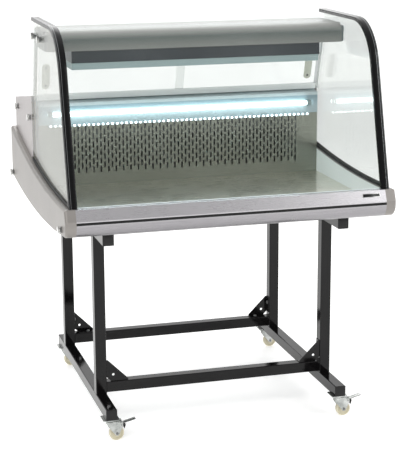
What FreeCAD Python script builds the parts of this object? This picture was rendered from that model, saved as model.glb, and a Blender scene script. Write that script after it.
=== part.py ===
import FreeCAD, Part
import math
import os
from FreeCAD import Vector

# Refrigerated curved-glass counter display on a wheeled stand of square tube.
# Millimetres. +X is the customer's right, +Y goes from the customer to the server, +Z is up.
# The origin is on the floor, below the centre of the whole object.

# ---- driving sizes: whole object ----
overall_width = 1188.0
overall_depth = 1156.0

# ---- driving sizes: sheet metal, bolts and clearances ----
sheet = 1.5
fit_gap = 0.3
bolt_clearance = 0.2
running_clearance = 0.05
cut_margin = 1.0

# ---- driving sizes: wheeled stand ----
tube = 40.0
tube_wall = 1.5
tube_corner = 3.0
stand_width = 900.0
runner_length = 920.0
runner_setback = 91.0
post_height = 595.0
front_post_setback = 166.0
rear_post_setback = 115.0
beam_lift = 6.0
cap_plate = 3.0
cap_plug = 18.0
cap_plug_wall = 2.0

gusset_leg = 80.0
gusset_width = 30.0
gusset_sheet = 2.5
gusset_relief = 17.0
gusset_tip = 6.0
gusset_hole_radius = 4.75
gusset_hole_offset = 25.0
gusset_bolt_radius = 4.0
gusset_bolt_offset = 56.0
gusset_bolt_end = 6.0
gusset_head_radius = 7.6
gusset_head = 2.0
gusset_crown_radius = 4.8
gusset_crown = 2.4

# ---- driving sizes: casters ----
wheel_radius = 27.0
wheel_width = 21.0
wheel_side_gap = 1.5
wheel_dish = 3.0
hub_wall = 3.5
axle_radius = 3.0
axle_flats = 9.0
axle_head = 3.2
axle_end = 4.0
caster_head = 30.0
caster_inset = 32.0
caster_trail = 22.0
caster_plate = 60.0
caster_plate_sheet = 2.5
caster_plate_corner = 6.0
caster_screw_margin = 7.0
caster_screw_y = 44.0
caster_screw_radius = 3.0
caster_screw_flats = 8.0
caster_screw_head = 2.4
caster_screw_end = 5.0
kingpin_radius = 4.0
kingpin_head = 2.5
race_radius = 21.0
race_depth = 7.5
race_chamfer = 2.0
fork_sheet = 2.5
fork_crown_gap = 0.4
fork_back = 12.0
fork_back_drop = 16.0
fork_nose = 6.0
pedal_reach = 92.0
pedal_pin_radius = 2.5
pedal_pin_x = 38.0
pedal_pin_lift = 4.0
pedal_side_gap = 0.8

# ---- driving sizes: base, end panels and front beam ----
base_height = 48.0
rim_flange = 15.0
tub_fold_rise = 12.0
tub_fold_depth = 62.0
end_panel_thickness = 38.0
end_panel_wall = 3.5
end_panel_round = 9.0
end_panel_corner = 26.0
panel_rear_rise = 216.0
panel_sag = 35.0
panel_belly = 32.0
beam_height = 98.0
beam_drop = 13.0
beam_thickness = 44.0
beam_shoulder = 17.0
beam_wall = 3.0
beam_nose_wall = 5.0
beam_head = 16.0
beam_hollow_half = 7.0
beam_hollow_shoulder = 13.0
beam_hollow_chin = 12.0
beam_hollow_rise = 14.0
chin_reach = 34.0
insert_height = 9.0
insert_margin = 8.0
insert_depth = 3.0
insert_proud = 0.7
insert_level = 51.0
badge_length = 66.0
badge_height = 14.0
badge_thickness = 1.2
badge_inset = 22.0
badge_rise = 4.0
liner_lap_gap = 1.5
liner_end_gap = 2.0

# ---- driving sizes: glass ----
glass = 6.0
glass_inset = 9.0
glass_lean = 15.2
glass_radius = 190.0
glass_top_height = 690.0
glass_setback = 31.0
glass_seat = 10.0
glass_end_lap = 0.7
edge_profile_width = 30.0
edge_profile_outer = 3.5
edge_profile_inner = 4.0
edge_profile_rim = 4.0
edge_profile_overhang = 11.0
seal_width = 12.0
seal_height = 12.0
seal_seat = 3.0

# ---- driving sizes: depths of the machine bay and of the air duct, and what they hold ----
machine_bay_depth = 393.0
duct_depth = 55.0
fan_space = 77.0
bulkhead_thickness = 24.0
bulkhead_drop = 20.0
rear_lean = 90.0

# ---- driving sizes: roof and lamp box ----
roof_level = 657.0
roof_depth = 227.0
roof_overhang = 17.0
roof_bend = 35.0
roof_lip = 70.0
roof_return = 12.0
roof_rear_flange = 14.0
roof_side_gap = 9.0
bracket_flange = 30.0
bracket_sheet = 3.0
bracket_setback = 40.0
lamp_box_inset = 86.0
lamp_box_setback = 5.0
lamp_box_depth = 210.0
lamp_box_height = 43.0
lamp_cover_height = 25.0
lamp_cover_lap = 2.0
lamp_cover_slope = 6.0
hanger_width = 30.0
hanger_depth = 20.0
hanger_inset = 60.0
hanger_rear = 52.0

# ---- driving sizes: lamp canopy, lamps and air grille ----
canopy_level = 374.0
canopy_height = 81.0
canopy_rise = 8.0
canopy_hem = 12.0
led_inset = 36.0
led_tube_radius = 8.0
led_tube_gap = 1.2
led_strip_height = 9.0
led_strip_depth = 5.0
led_clip_length = 18.0
led_clip_wall = 2.2
led_clip_inset = 7.0
slot_width = 6.0
slot_length = 24.0
slot_pitch_x = 14.5
slot_pitch_z = 32.0
slot_margin_x = 88.0
slot_margin_z = 4.0
slot_rows = 6
grille_foot = 46.0

# ---- driving sizes: evaporator and its fan ----
evaporator_inset = 126.0
evaporator_setback = 22.0
evaporator_depth = 44.0
evaporator_height = 150.0
evaporator_foot = 18.0
evaporator_pipe_rows = 5
evaporator_pipe_radius = 5.0
evaporator_pipe_end = 12.0
foot_width = 24.0
fan_plate_gap = 8.0
evaporator_fan_radius = 56.0
evaporator_fan_hub = 15.0
evaporator_fan_depth = 14.0
evaporator_fan_blades = 6
fan_bar_offset = 24.0
fan_bar = 2.0
fan_bar_height = 8.0
fan_bar_leg = 4.0
fan_tip_gap = 6.0
motor_shaft_radius = 4.0

# ---- driving sizes: rear housing and controls ----
housing_front_level = 390.0
housing_rear_level = 334.0
vent_length = 130.0
vent_height = 7.0
vent_gap = 20.0
vent_pitch = 16.0
vent_foot = 40.0
vent_inset = 81.0
right_vent_rows = 9
right_vent_columns = 3
left_vent_rows = 6
left_vent_columns = 2
control_inset = 151.0
inlet_inset = 321.0
control_rise = 215.0
control_length = 140.0
control_height = 60.0
control_plate = 3.0
control_corner = 4.0
control_window_x = 124.0
control_window_z = 44.0
controller_offset = 20.0
controller_length = 60.0
controller_height = 30.0
controller_depth = 30.5
controller_recess = 0.5
switch_offset = 37.0
switch_length = 24.0
switch_height = 28.0
switch_wall = 1.8
switch_socket_depth = 18.0
switch_floor = 2.0
switch_rocker_gap = 0.4
inlet_length = 27.0
inlet_height = 19.0
inlet_depth = 24.0
inlet_wall = 2.0
inlet_flange = 4.5
inlet_flange_sheet = 2.5
inlet_floor = 7.0

# ---- driving sizes: compressor and condenser ----
compressor_x = -130.0
compressor_from_rear = 148.0
compressor_foot_length = 190.0
compressor_foot_width = 150.0
compressor_foot_sheet = 4.0
compressor_leg_x = 48.0
compressor_leg_y = 36.0
compressor_leg_radius = 7.0
compressor_lift = 14.0
compressor_radius = 72.0
compressor_height = 164.0
compressor_seam = 2.0
condenser_x = 230.0
condenser_from_rear = 98.0
condenser_width = 290.0
condenser_height = 230.0
condenser_depth = 60.0
condenser_foot = 12.0
condenser_foot_width = 20.0
condenser_foot_inset = 15.0
shroud_depth = 44.0
shroud_bore = 104.0
condenser_fan_radius = 98.0
condenser_fan_hub = 22.0
condenser_fan_depth = 20.0
condenser_fan_blades = 5
condenser_motor_radius = 32.0
condenser_motor_length = 26.0
condenser_bar_offset = 82.0
condenser_bar = 3.0
condenser_bar_height = 16.0
condenser_bar_leg = 4.0

# ---- driving sizes: fan blades ----
blade_sheet = 1.6
blade_pitch = 55.0
blade_reach = 1.1

# ---- driving sizes: sliding doors, tracks and pulls ----
door_thickness = 5.0
door_gap = 4.0
door_overlap = 34.0
door_side_gap = 6.0
door_groove_gap = 0.6
door_groove_depth = 5.0
door_inset = 10.0
track_width = 26.0
track_height = 16.0
track_lift = 6.0
track_foot = 5.5
track_head = 13.0
track_roof_gap = 14.0
pull_width = 30.0
pull_length = 100.0
pull_rise = 35.0
pull_inset = 30.0
pull_sheet = 3.0

# ---- driving sizes: hand screws ----
screw_radius = 4.0
screw_flange_radius = 11.5
screw_flange = 2.5
screw_neck_radius = 7.0
screw_neck_end = 5.5
screw_head_radius = 12.5
screw_head = 8.0
screw_length = 14.0
panel_screw_front = 81.0
panel_screw_rear = 30.0
panel_screw_rise = 32.0
housing_screw_front = 39.0
housing_screw_rear = 62.0
housing_screw_rise = 304.0
roof_screw_front = 59.0
roof_screw_rear = 23.0
roof_screw_rise = 627.0

# ---- levels and faces that follow from the sizes above ----
half_width = overall_width / 2
front = -overall_depth / 2
rear = overall_depth / 2
caster_height = 2 * wheel_radius + caster_head
caster_screw_x = tube - 2 * caster_screw_margin
race_low = caster_height - caster_plate_sheet - race_depth
crown_top = race_low - fork_crown_gap
crown_low = crown_top - fork_sheet
cheek_inner = wheel_width / 2 + wheel_side_gap
cheek_outer = cheek_inner + fork_sheet
pedal_pin_z = 2 * wheel_radius + pedal_pin_lift
runner_bottom = caster_height
runner_top = runner_bottom + tube
arm_bottom = runner_top + post_height
case_bottom = arm_bottom + tube
stand_half = stand_width / 2
post_centre_x = stand_half - tube / 2
runner_front = front + runner_setback
runner_rear = runner_front + runner_length
front_post_y = runner_front + front_post_setback + tube / 2
rear_post_y = runner_rear - rear_post_setback - tube / 2
cross_beam_z = runner_top + beam_lift + tube / 2
case_floor = case_bottom + base_height
deck_top = case_floor + sheet
seam_x = half_width - end_panel_thickness
chamber_half = seam_x - sheet - fit_gap
base_half = seam_x - cut_margin
beam_bottom = case_bottom + beam_drop
beam_top = beam_bottom + beam_height
beam_front = front + insert_proud
beam_back = beam_front + beam_thickness
insert_z = beam_bottom + insert_level
panel_side_x = seam_x + glass_inset
glass_outer_x = panel_side_x + glass
housing_x = glass_outer_x
side_glass_rear = rear - machine_bay_depth
side_glass_top_rear = side_glass_rear - rear_lean
chamber_rear = side_glass_rear - duct_depth
edge_profile_rear = side_glass_top_rear + edge_profile_overhang
bulkhead_front = side_glass_rear + fan_space
bulkhead_top = case_bottom + canopy_level - bulkhead_drop
roof_top = case_bottom + roof_level
roof_rear = side_glass_top_rear + roof_overhang
roof_front = roof_rear - roof_depth
roof_half = panel_side_x - roof_side_gap
lip_low = roof_top - roof_lip
control_x = control_inset - housing_x
inlet_x = inlet_inset - housing_x
control_z = case_floor + control_rise
machine_floor = case_bottom + sheet


# ---- shape helpers ----
def box(x_range, y_range, z_range):
    """Return an upright block between two limits along each axis."""
    low = Vector(x_range[0], y_range[0], z_range[0])
    return Part.makeBox(x_range[1] - x_range[0], y_range[1] - y_range[0], z_range[1] - z_range[0], low)


def around(centre, length):
    """Return the two limits of a length about its centre."""
    return centre - length / 2, centre + length / 2


def grown(limits, margin=cut_margin):
    """Return two limits moved apart, so that a cut goes right through."""
    return limits[0] - margin, limits[1] + margin


def rod(radius, length, start, direction):
    """Return a round bar from a start point."""
    return Part.makeCylinder(radius, length, Vector(*start), Vector(*direction))


def to_space(axis, along, point):
    """Return the 3-D point of a 2-D point in the plane across an axis."""
    a, b = point
    return {"x": Vector(along, a, b), "y": Vector(a, along, b), "z": Vector(a, b, along)}[axis]


def outline_face(axis, along, start, steps):
    """Return the flat face inside an outline: a step is a point, or a (middle, end) pair for an arc."""
    edges = []
    here = start
    for step in steps + [start]:
        middle, end = step if isinstance(step[0], tuple) else (None, step)
        if middle is not None:
            edges.append(Part.Arc(*(to_space(axis, along, p) for p in (here, middle, end))).toShape())
        elif math.dist(here, end) > 1e-6:
            edges.append(Part.LineSegment(to_space(axis, along, here), to_space(axis, along, end)).toShape())
        here = end
    return Part.Face(Part.Wire(edges))


def prism(axis, limits, start, steps):
    """Return an outline pushed along an axis between two limits."""
    direction = {"x": Vector(1, 0, 0), "y": Vector(0, 1, 0), "z": Vector(0, 0, 1)}[axis]
    return outline_face(axis, limits[0], start, steps).extrude(direction * (limits[1] - limits[0]))


def corner_arc(corner, radius, entry, leave):
    """Return the three points of a rounded right-angled corner, for unit directions in and out."""
    start = (corner[0] - entry[0] * radius, corner[1] - entry[1] * radius)
    end = (corner[0] + leave[0] * radius, corner[1] + leave[1] * radius)
    centre = (start[0] + leave[0] * radius, start[1] + leave[1] * radius)
    reach = radius / math.sqrt(2)
    middle = (centre[0] + (entry[0] - leave[0]) * reach, centre[1] + (entry[1] - leave[1]) * reach)
    return start, middle, end


def rounded_bar(axis, limits, centre, size, radius):
    """Return a solid rectangular bar with four rounded long edges."""
    half_a, half_b = size[0] / 2, size[1] / 2
    turns = (((1, 1), (1, 0), (0, -1)), ((1, -1), (0, -1), (-1, 0)),
             ((-1, -1), (-1, 0), (0, 1)), ((-1, 1), (0, 1), (1, 0)))
    steps = []
    for (side_a, side_b), entry, leave in turns:
        corner = (centre[0] + side_a * half_a, centre[1] + side_b * half_b)
        first, middle, last = corner_arc(corner, radius, entry, leave)
        steps += [first, (middle, last)]
    return prism(axis, limits, steps[0], steps[1:])


def square_tube(axis, limits, centre):
    """Return one length of the stand's square tube."""
    bore = tube - 2 * tube_wall
    outside = rounded_bar(axis, limits, centre, (tube, tube), tube_corner)
    return outside.cut(rounded_bar(axis, limits, centre, (bore, bore), tube_corner - tube_wall))


def bent_sheet(limits, points, thickness):
    """Return folded sheet metal along X, laid to the left of a path of (y, z) points."""
    offsets = []
    for index, point in enumerate(points):
        normals = []
        for other in (index - 1, index):
            if 0 <= other < len(points) - 1:
                dy = points[other + 1][0] - points[other][0]
                dz = points[other + 1][1] - points[other][1]
                length = math.hypot(dy, dz)
                normals.append((-dz / length, dy / length))
        ny = sum(n[0] for n in normals) / len(normals)
        nz = sum(n[1] for n in normals) / len(normals)
        scale = thickness / (ny * ny + nz * nz)
        offsets.append((point[0] + ny * scale, point[1] + nz * scale))
    return prism("x", limits, points[0], points[1:] + offsets[::-1])


def turned(profile, start, direction=(0, 0, 1)):
    """Return a body of revolution about an axis through start, from (radius, distance) points."""
    points = [Vector(r, 0, z) for r, z in profile]
    face = Part.Face(Part.makePolygon(points + [points[0]]))
    solid = face.revolve(Vector(0, 0, 0), Vector(0, 0, 1), 360)
    turn = FreeCAD.Rotation(Vector(0, 0, 1), Vector(*direction))
    solid.transformShape(FreeCAD.Placement(Vector(*start), turn).toMatrix())
    return solid


def mirrored(shape):
    """Return the opposite-hand copy across the middle plane."""
    return shape.mirror(Vector(0, 0, 0), Vector(1, 0, 0))


def both_sides(shape):
    """Return a piece and its opposite-hand copy as two solids."""
    return [shape, mirrored(shape)]


def hexagon(across_flats, thickness, start, direction):
    """Return a hexagonal nut or bolt head."""
    radius = across_flats / math.sqrt(3)
    corners = [Vector(radius * math.cos(math.radians(60 * k)), radius * math.sin(math.radians(60 * k)), 0)
               for k in range(7)]
    solid = Part.Face(Part.makePolygon(corners)).extrude(Vector(0, 0, thickness))
    solid.Placement = FreeCAD.Placement(Vector(*start), FreeCAD.Rotation(Vector(0, 0, 1), Vector(*direction)))
    return solid


nodes = {}


def save(name, shapes):
    """Keep one node, given a solid or a list of separate solids."""
    solids = shapes if isinstance(shapes, list) else [shapes]
    nodes[name] = Part.makeCompound(solids) if len(solids) > 1 else solids[0]


# ---- stand: two welded side frames, two cross beams ----
def make_side_frames():
    """Save the runner, posts and arm of each side frame."""
    tube_span = (runner_front + cap_plate, runner_rear - cap_plate)
    wall_cut = tube_wall + 2 * cut_margin
    posts = []
    for side, sign in (("left", -1), ("right", 1)):
        x = sign * post_centre_x
        runner = square_tube("y", tube_span, (x, runner_bottom + tube / 2))
        arm = square_tube("y", tube_span, (x, arm_bottom + tube / 2))
        for caster_y in caster_rows():
            for hole in caster_screw_places(x, caster_y):
                start = (*hole, runner_bottom - cut_margin)
                runner = runner.cut(rod(caster_screw_radius + bolt_clearance, wall_cut, start, (0, 0, 1)))
        save(side + "_runner", runner)
        save(side + "_arm", arm)
        for y in (front_post_y, rear_post_y):
            post = square_tube("z", (runner_top, arm_bottom), (x, y))
            inner_face = x - sign * (tube / 2 + cut_margin)
            start = (inner_face, gusset_flange_centre(y), cross_beam_z + tube / 2 + gusset_bolt_offset)
            posts.append(post.cut(rod(gusset_bolt_radius + bolt_clearance, wall_cut, start, (sign, 0, 0))))
    save("stand_posts", posts)


def caster_rows():
    """Return the Y of the front and rear swivel axes."""
    return (runner_front + caster_inset, runner_rear - caster_inset)


def caster_screw_places(x, y):
    """Return the four screw positions of one caster plate."""
    return [(x + sx * caster_screw_x / 2, y + sy * caster_screw_y / 2) for sx in (-1, 1) for sy in (-1, 1)]


def gusset_flange_centre(post_y):
    """Return the Y of the flange bolts, clear of the gusset's web."""
    return post_y + (gusset_sheet if post_y < 0 else -gusset_sheet) / 2


def make_cross_beams():
    """Save the two beams that tie the side frames together."""
    span = (-post_centre_x + tube / 2, post_centre_x - tube / 2)
    beam_top_z = cross_beam_z + tube / 2
    beams = []
    for y in (front_post_y, rear_post_y):
        beam = square_tube("x", span, (y, cross_beam_z))
        for sign in (-1, 1):
            start = (sign * (span[1] - gusset_bolt_offset), gusset_flange_centre(y), beam_top_z + cut_margin)
            hole = rod(gusset_bolt_radius + bolt_clearance, tube_wall + 2 * cut_margin, start, (0, 0, -1))
            beam = beam.cut(hole)
        beams.append(beam)
    save("cross_beams", beams)


def gusset(sign, post_y):
    """Return one pressed corner gusset: a triangular web with a flange on the post and one on the beam."""
    wall_x = post_centre_x - tube / 2
    floor_z = cross_beam_z + tube / 2
    flange = around(post_y, gusset_width)
    web_low = flange[0] if post_y < 0 else flange[1] - gusset_sheet
    web = prism("y", (web_low, web_low + gusset_sheet), (wall_x, floor_z + gusset_relief),
                [(wall_x, floor_z + gusset_leg), (wall_x - gusset_tip, floor_z + gusset_leg),
                 (wall_x - gusset_leg, floor_z + gusset_tip), (wall_x - gusset_leg, floor_z),
                 (wall_x - gusset_relief, floor_z)])
    upright = box((wall_x - gusset_sheet, wall_x), flange, (floor_z + gusset_relief, floor_z + gusset_leg))
    level = box((wall_x - gusset_leg, wall_x - gusset_relief), flange, (floor_z, floor_z + gusset_sheet))
    piece = web.fuse([upright, level])
    through = gusset_sheet + 2 * cut_margin
    hole_at = (wall_x - gusset_hole_offset, web_low - cut_margin, floor_z + gusset_hole_offset)
    piece = piece.cut(rod(gusset_hole_radius, through, hole_at, (0, 1, 0)))
    for seat, direction in gusset_bolts(post_y):
        start = [seat[k] - cut_margin * direction[k] for k in range(3)]
        piece = piece.cut(rod(gusset_bolt_radius + bolt_clearance, through, start, direction))
    piece = piece.removeSplitter()
    return piece if sign > 0 else mirrored(piece)


def gusset_bolts(post_y):
    """Return the seat and inward direction of the two right-hand gusset bolts at one post."""
    wall_x = post_centre_x - tube / 2
    floor_z = cross_beam_z + tube / 2
    y = gusset_flange_centre(post_y)
    return [((wall_x - gusset_sheet, y, floor_z + gusset_bolt_offset), (1, 0, 0)),
            ((wall_x - gusset_bolt_offset, y, floor_z + gusset_sheet), (0, 0, -1))]


def make_gussets():
    """Save the four gussets and their bolts."""
    gussets, bolts = [], []
    for y in (front_post_y, rear_post_y):
        gussets += [gusset(sign, y) for sign in (-1, 1)]
        for seat, direction in gusset_bolts(y):
            out = [-d for d in direction]
            shank = rod(gusset_bolt_radius, gusset_sheet + tube_wall + gusset_bolt_end, seat, direction)
            head = rod(gusset_head_radius, gusset_head, seat, out)
            crown_seat = [seat[k] + gusset_head * out[k] for k in range(3)]
            crown = Part.makeCone(gusset_head_radius, gusset_crown_radius, gusset_crown,
                                  Vector(*crown_seat), Vector(*out))
            bolts += both_sides(shank.fuse([head, crown]).removeSplitter())
    save("corner_gussets", gussets)
    save("gusset_bolts", bolts)


def make_end_caps():
    """Save the plastic caps that close the open tube ends; their plugs are open below, clear of screws."""
    caps = []
    plug = tube - 2 * (tube_wall + bolt_clearance)
    hollow = plug / 2 - cap_plug_wall
    places = [(x, z, y, inward) for x in (-post_centre_x, post_centre_x)
              for z in (runner_bottom + tube / 2, arm_bottom + tube / 2)
              for y, inward in ((runner_front, 1), (runner_rear, -1))]
    for x, z, y, inward in places:
        seat = y + inward * cap_plate
        deep = seat + inward * cap_plug
        plate = rounded_bar("y", sorted((y, seat)), (x, z), (tube, tube), tube_corner)
        core = rounded_bar("y", sorted((seat, deep)), (x, z), (plug, plug), tube_corner - tube_wall)
        space = box((x - hollow, x + hollow), sorted((seat, deep + inward * cut_margin)),
                    (z - plug / 2 - cut_margin, z + hollow))
        caps.append(plate.fuse(core.cut(space)).removeSplitter())
    save("tube_end_caps", caps)


# ---- casters ----
def make_casters():
    """Save four swivel casters, with a brake pedal on the front pair."""
    plates, screws = [], []
    for place, y, braked in (("front", caster_rows()[0], True), ("rear", caster_rows()[1], False)):
        for side, sign in (("left", -1), ("right", 1)):
            x = sign * post_centre_x
            plates.append(caster_plate_piece(x, y))
            screws += [caster_screw(hole) for hole in caster_screw_places(x, y)]
            name = place + "_" + side
            save("caster_fork_" + name, [caster_fork(x, y, braked), caster_axle(x, y)])
            save("caster_wheel_" + name, caster_wheel(x, y))
            if braked:
                save("brake_pedal_" + name, brake_pedal(x, y))
    save("caster_plates", plates)
    save("caster_screws", screws)


def caster_plate_piece(x, y):
    """Return a caster's mounting plate with its upper race and kingpin."""
    race_top = caster_height - caster_plate_sheet
    plate = rounded_bar("z", (race_top, caster_height), (x, y), (caster_plate, caster_plate),
                        caster_plate_corner)
    race = turned([(0, race_top), (race_radius, race_top), (race_radius, race_low + race_chamfer),
                   (race_radius - race_chamfer, race_low), (0, race_low)], (x, y, 0))
    pin_low = crown_low - fork_crown_gap
    head_radius = kingpin_radius + kingpin_head
    pin = turned([(0, race_low), (kingpin_radius, race_low), (kingpin_radius, pin_low),
                  (head_radius, pin_low), (head_radius - 1, pin_low - kingpin_head),
                  (0, pin_low - kingpin_head)], (x, y, 0))
    piece = plate.fuse([race, pin]).removeSplitter()
    for hole in caster_screw_places(x, y):
        start = (*hole, race_low - cut_margin)
        through = caster_height - race_low + 2 * cut_margin
        piece = piece.cut(rod(caster_screw_radius + bolt_clearance, through, start, (0, 0, 1)))
    return piece


def caster_screw(hole):
    """Return one screw that holds a caster plate to the runner's lower wall."""
    seat = caster_height - caster_plate_sheet
    length = caster_plate_sheet + tube_wall + caster_screw_end
    shank = rod(caster_screw_radius, length, (*hole, seat), (0, 0, 1))
    head = hexagon(caster_screw_flats, caster_screw_head, (*hole, seat - caster_screw_head), (0, 0, 1))
    return shank.fuse(head).removeSplitter()


def caster_fork(x, y, braked):
    """Return the pressed fork: a crown round the kingpin and two cheeks down to the axle."""
    crown = rod(race_radius - 1, fork_sheet, (x, y, crown_low), (0, 0, 1))
    nose_x = x + (pedal_pin_x + fork_nose if braked else caster_trail + fork_back)
    bridge = box((x - fork_back, nose_x - 2 * fork_nose), around(y, 2 * cheek_outer), (crown_low, crown_top))
    axle_x = x + caster_trail
    nose_z = 2 * wheel_radius - axle_radius / 2
    boss = 3 * axle_radius
    cheeks = []
    for face in (-cheek_outer, cheek_inner):
        cheeks.append(prism("y", (y + face, y + face + fork_sheet), (x - fork_back, crown_top),
                            [(x - fork_back, crown_top - fork_back_drop), (axle_x - boss, wheel_radius - 4),
                             ((axle_x, wheel_radius - boss), (axle_x + boss, wheel_radius - 4)),
                             (nose_x, nose_z), (nose_x, crown_top)]))
    piece = crown.fuse([bridge] + cheeks)
    through = 2 * (cheek_outer + cut_margin)
    side = y - cheek_outer - cut_margin
    pin_low = crown_low - cut_margin
    cuts = [rod(kingpin_radius + running_clearance, fork_sheet + 2 * cut_margin, (x, y, pin_low), (0, 0, 1)),
            rod(axle_radius + running_clearance, through, (axle_x, side, wheel_radius), (0, 1, 0))]
    if braked:
        pin_start = (x + pedal_pin_x, side, pedal_pin_z)
        cuts.append(rod(pedal_pin_radius + running_clearance, through, pin_start, (0, 1, 0)))
    return piece.cut(cuts).removeSplitter()


def caster_axle(x, y):
    """Return the axle bolt with its head and nut, outside the fork's cheeks."""
    axle_x = x + caster_trail
    shank = rod(axle_radius, 2 * (cheek_outer + axle_end), (axle_x, y - cheek_outer - axle_end, wheel_radius),
                (0, 1, 0))
    head = hexagon(axle_flats, axle_head, (axle_x, y - cheek_outer, wheel_radius), (0, -1, 0))
    nut = hexagon(axle_flats, axle_head, (axle_x, y + cheek_outer, wheel_radius), (0, 1, 0))
    return shank.fuse([head, nut]).removeSplitter()


def caster_wheel(x, y):
    """Return a moulded wheel: a rounded tread, dished sides and a hub bored for the axle."""
    half = wheel_width / 2
    hub_half = cheek_inner - fit_gap
    bore = axle_radius + running_clearance
    web = half - wheel_dish
    profile = [(bore, -hub_half), (bore + hub_wall, -hub_half), (bore + hub_wall + 1.5, -web),
               (wheel_radius - 2 * wheel_dish, -web), (wheel_radius - 1.5 * wheel_dish, -half),
               (wheel_radius - 2, 0.8 - half), (wheel_radius - 0.5, -web),
               (wheel_radius, 2 * wheel_dish - half)]
    profile += [(r, -z) for r, z in reversed(profile)]
    return turned(profile, (x + caster_trail, y, wheel_radius), (0, 1, 0))


def brake_pedal(x, y):
    """Return the brake pedal: a pin in the fork's cheeks, a tread plate and a shoe behind the wheel."""
    half = cheek_inner - pedal_side_gap
    pin_x, z = x + pedal_pin_x, pedal_pin_z
    tip_x = x + pedal_reach
    pin_end = cheek_outer + cut_margin
    pin = rod(pedal_pin_radius, 2 * pin_end, (pin_x, y - pin_end, z), (0, 1, 0))
    tread = prism("y", (y - half, y + half), (pin_x - 3, z + 2),
                  [(pin_x + 9, z + 4), (tip_x - 6, z + 13), (tip_x, z + 16), (tip_x - 2, z + 17.5),
                   (tip_x - 12, z + 14.5), (pin_x + 12, z + 7), (pin_x - 3, z + 4.5)])
    hub = rod(pedal_pin_radius + 2, 2 * half, (pin_x, y - half, z), (0, 1, 0))
    shoe = prism("y", (y - half + 2, y + half - 2), (pin_x + 4, z),
                 [(pin_x + 15, z + 5.5), (pin_x + 17, z - 4), (pin_x + 12.5, z - 17), (pin_x + 11, z - 16),
                  (pin_x + 9.5, z - 9)])
    return tread.fuse([hub, pin, shoe]).removeSplitter()


# ---- case: curves shared by the panels, the glass and the seals ----
def panel_top_ends():
    """Return the front, middle and rear points of the end panels' upper edge."""
    front_point = (glass_foot()[0] + glass, beam_top)
    rear_point = (rear, case_bottom + panel_rear_rise)
    middle = ((front_point[0] + rear_point[0]) / 2, (front_point[1] + rear_point[1]) / 2 - panel_sag)
    return front_point, middle, rear_point


def arc_circle(points):
    """Return the centre and radius of the circle through three (y, z) points."""
    (y1, z1), (y2, z2), (y3, z3) = points
    d = 2 * (y1 * (z2 - z3) + y2 * (z3 - z1) + y3 * (z1 - z2))
    s1, s2, s3 = y1 * y1 + z1 * z1, y2 * y2 + z2 * z2, y3 * y3 + z3 * z3
    cy = (s1 * (z2 - z3) + s2 * (z3 - z1) + s3 * (z1 - z2)) / d
    cz = (s1 * (y3 - y2) + s2 * (y1 - y3) + s3 * (y2 - y1)) / d
    return cy, cz, math.hypot(y1 - cy, z1 - cz)


def panel_top_at(y):
    """Return the level of the end panels' upper edge at a depth."""
    cy, cz, radius = arc_circle(panel_top_ends())
    return cz - math.sqrt(radius * radius - (y - cy) ** 2)


def along_panel_top(low_y, high_y, lift):
    """Return the start, middle and end of a line above the end panels' upper edge."""
    return [(y, panel_top_at(y) + lift) for y in (low_y, (low_y + high_y) / 2, high_y)]


def glass_foot():
    """Return the (y, z) of the curved glass's outer face, where it meets the top of the front beam."""
    return front + glass_setback, beam_top


def glass_path(offset, foot_z, rear_y):
    """Return the path of a face parallel to the curved glass: a leaning line, an arc and a level line."""
    lean = math.radians(glass_lean)
    foot_y, top_z = glass_foot()[0], case_bottom + glass_top_height
    centre_z = top_z - glass_radius
    tangent_y = foot_y + (centre_z + glass_radius * math.sin(lean) - beam_top) * math.tan(lean)
    centre_y = tangent_y + glass_radius * math.cos(lean)
    radius = glass_radius + offset

    def on_arc(angle):
        return centre_y - radius * math.cos(angle), centre_z + radius * math.sin(angle)

    start = on_arc(lean)
    foot = (start[0] - (start[1] - foot_z) * math.tan(lean), foot_z)
    return [foot, start, on_arc((lean + math.pi / 2) / 2), on_arc(math.pi / 2), (rear_y, centre_z + radius)]


def glass_band(x_limits, inner_offset, outer_offset, foot_z, rear_y):
    """Return the solid between two faces parallel to the curved glass."""
    outer = glass_path(outer_offset, foot_z, rear_y)
    inner = glass_path(inner_offset, foot_z, rear_y)
    steps = [outer[1], (outer[2], outer[3]), outer[4], inner[4], inner[3], (inner[2], inner[1]), inner[0]]
    return prism("x", x_limits, outer[0], steps)


def side_glass_face(inset, bottom_lift, x_limits):
    """Return the side pane's plate, drawn in from the curved glass and raised above the panel's edge."""
    path = glass_path(-glass - inset, beam_top, side_glass_top_rear)
    foot_y = path[0][0]
    foot_z = panel_top_at(foot_y) + bottom_lift
    foot = (path[1][0] - (path[1][1] - foot_z) * math.tan(math.radians(glass_lean)), foot_z)
    middle, end = along_panel_top(foot_y, side_glass_rear, bottom_lift)[1:]
    steps = [path[1], (path[2], path[3]), path[4], (side_glass_rear, case_bottom + canopy_level), end,
             (middle, foot)]
    return prism("x", x_limits, foot, steps)


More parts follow.
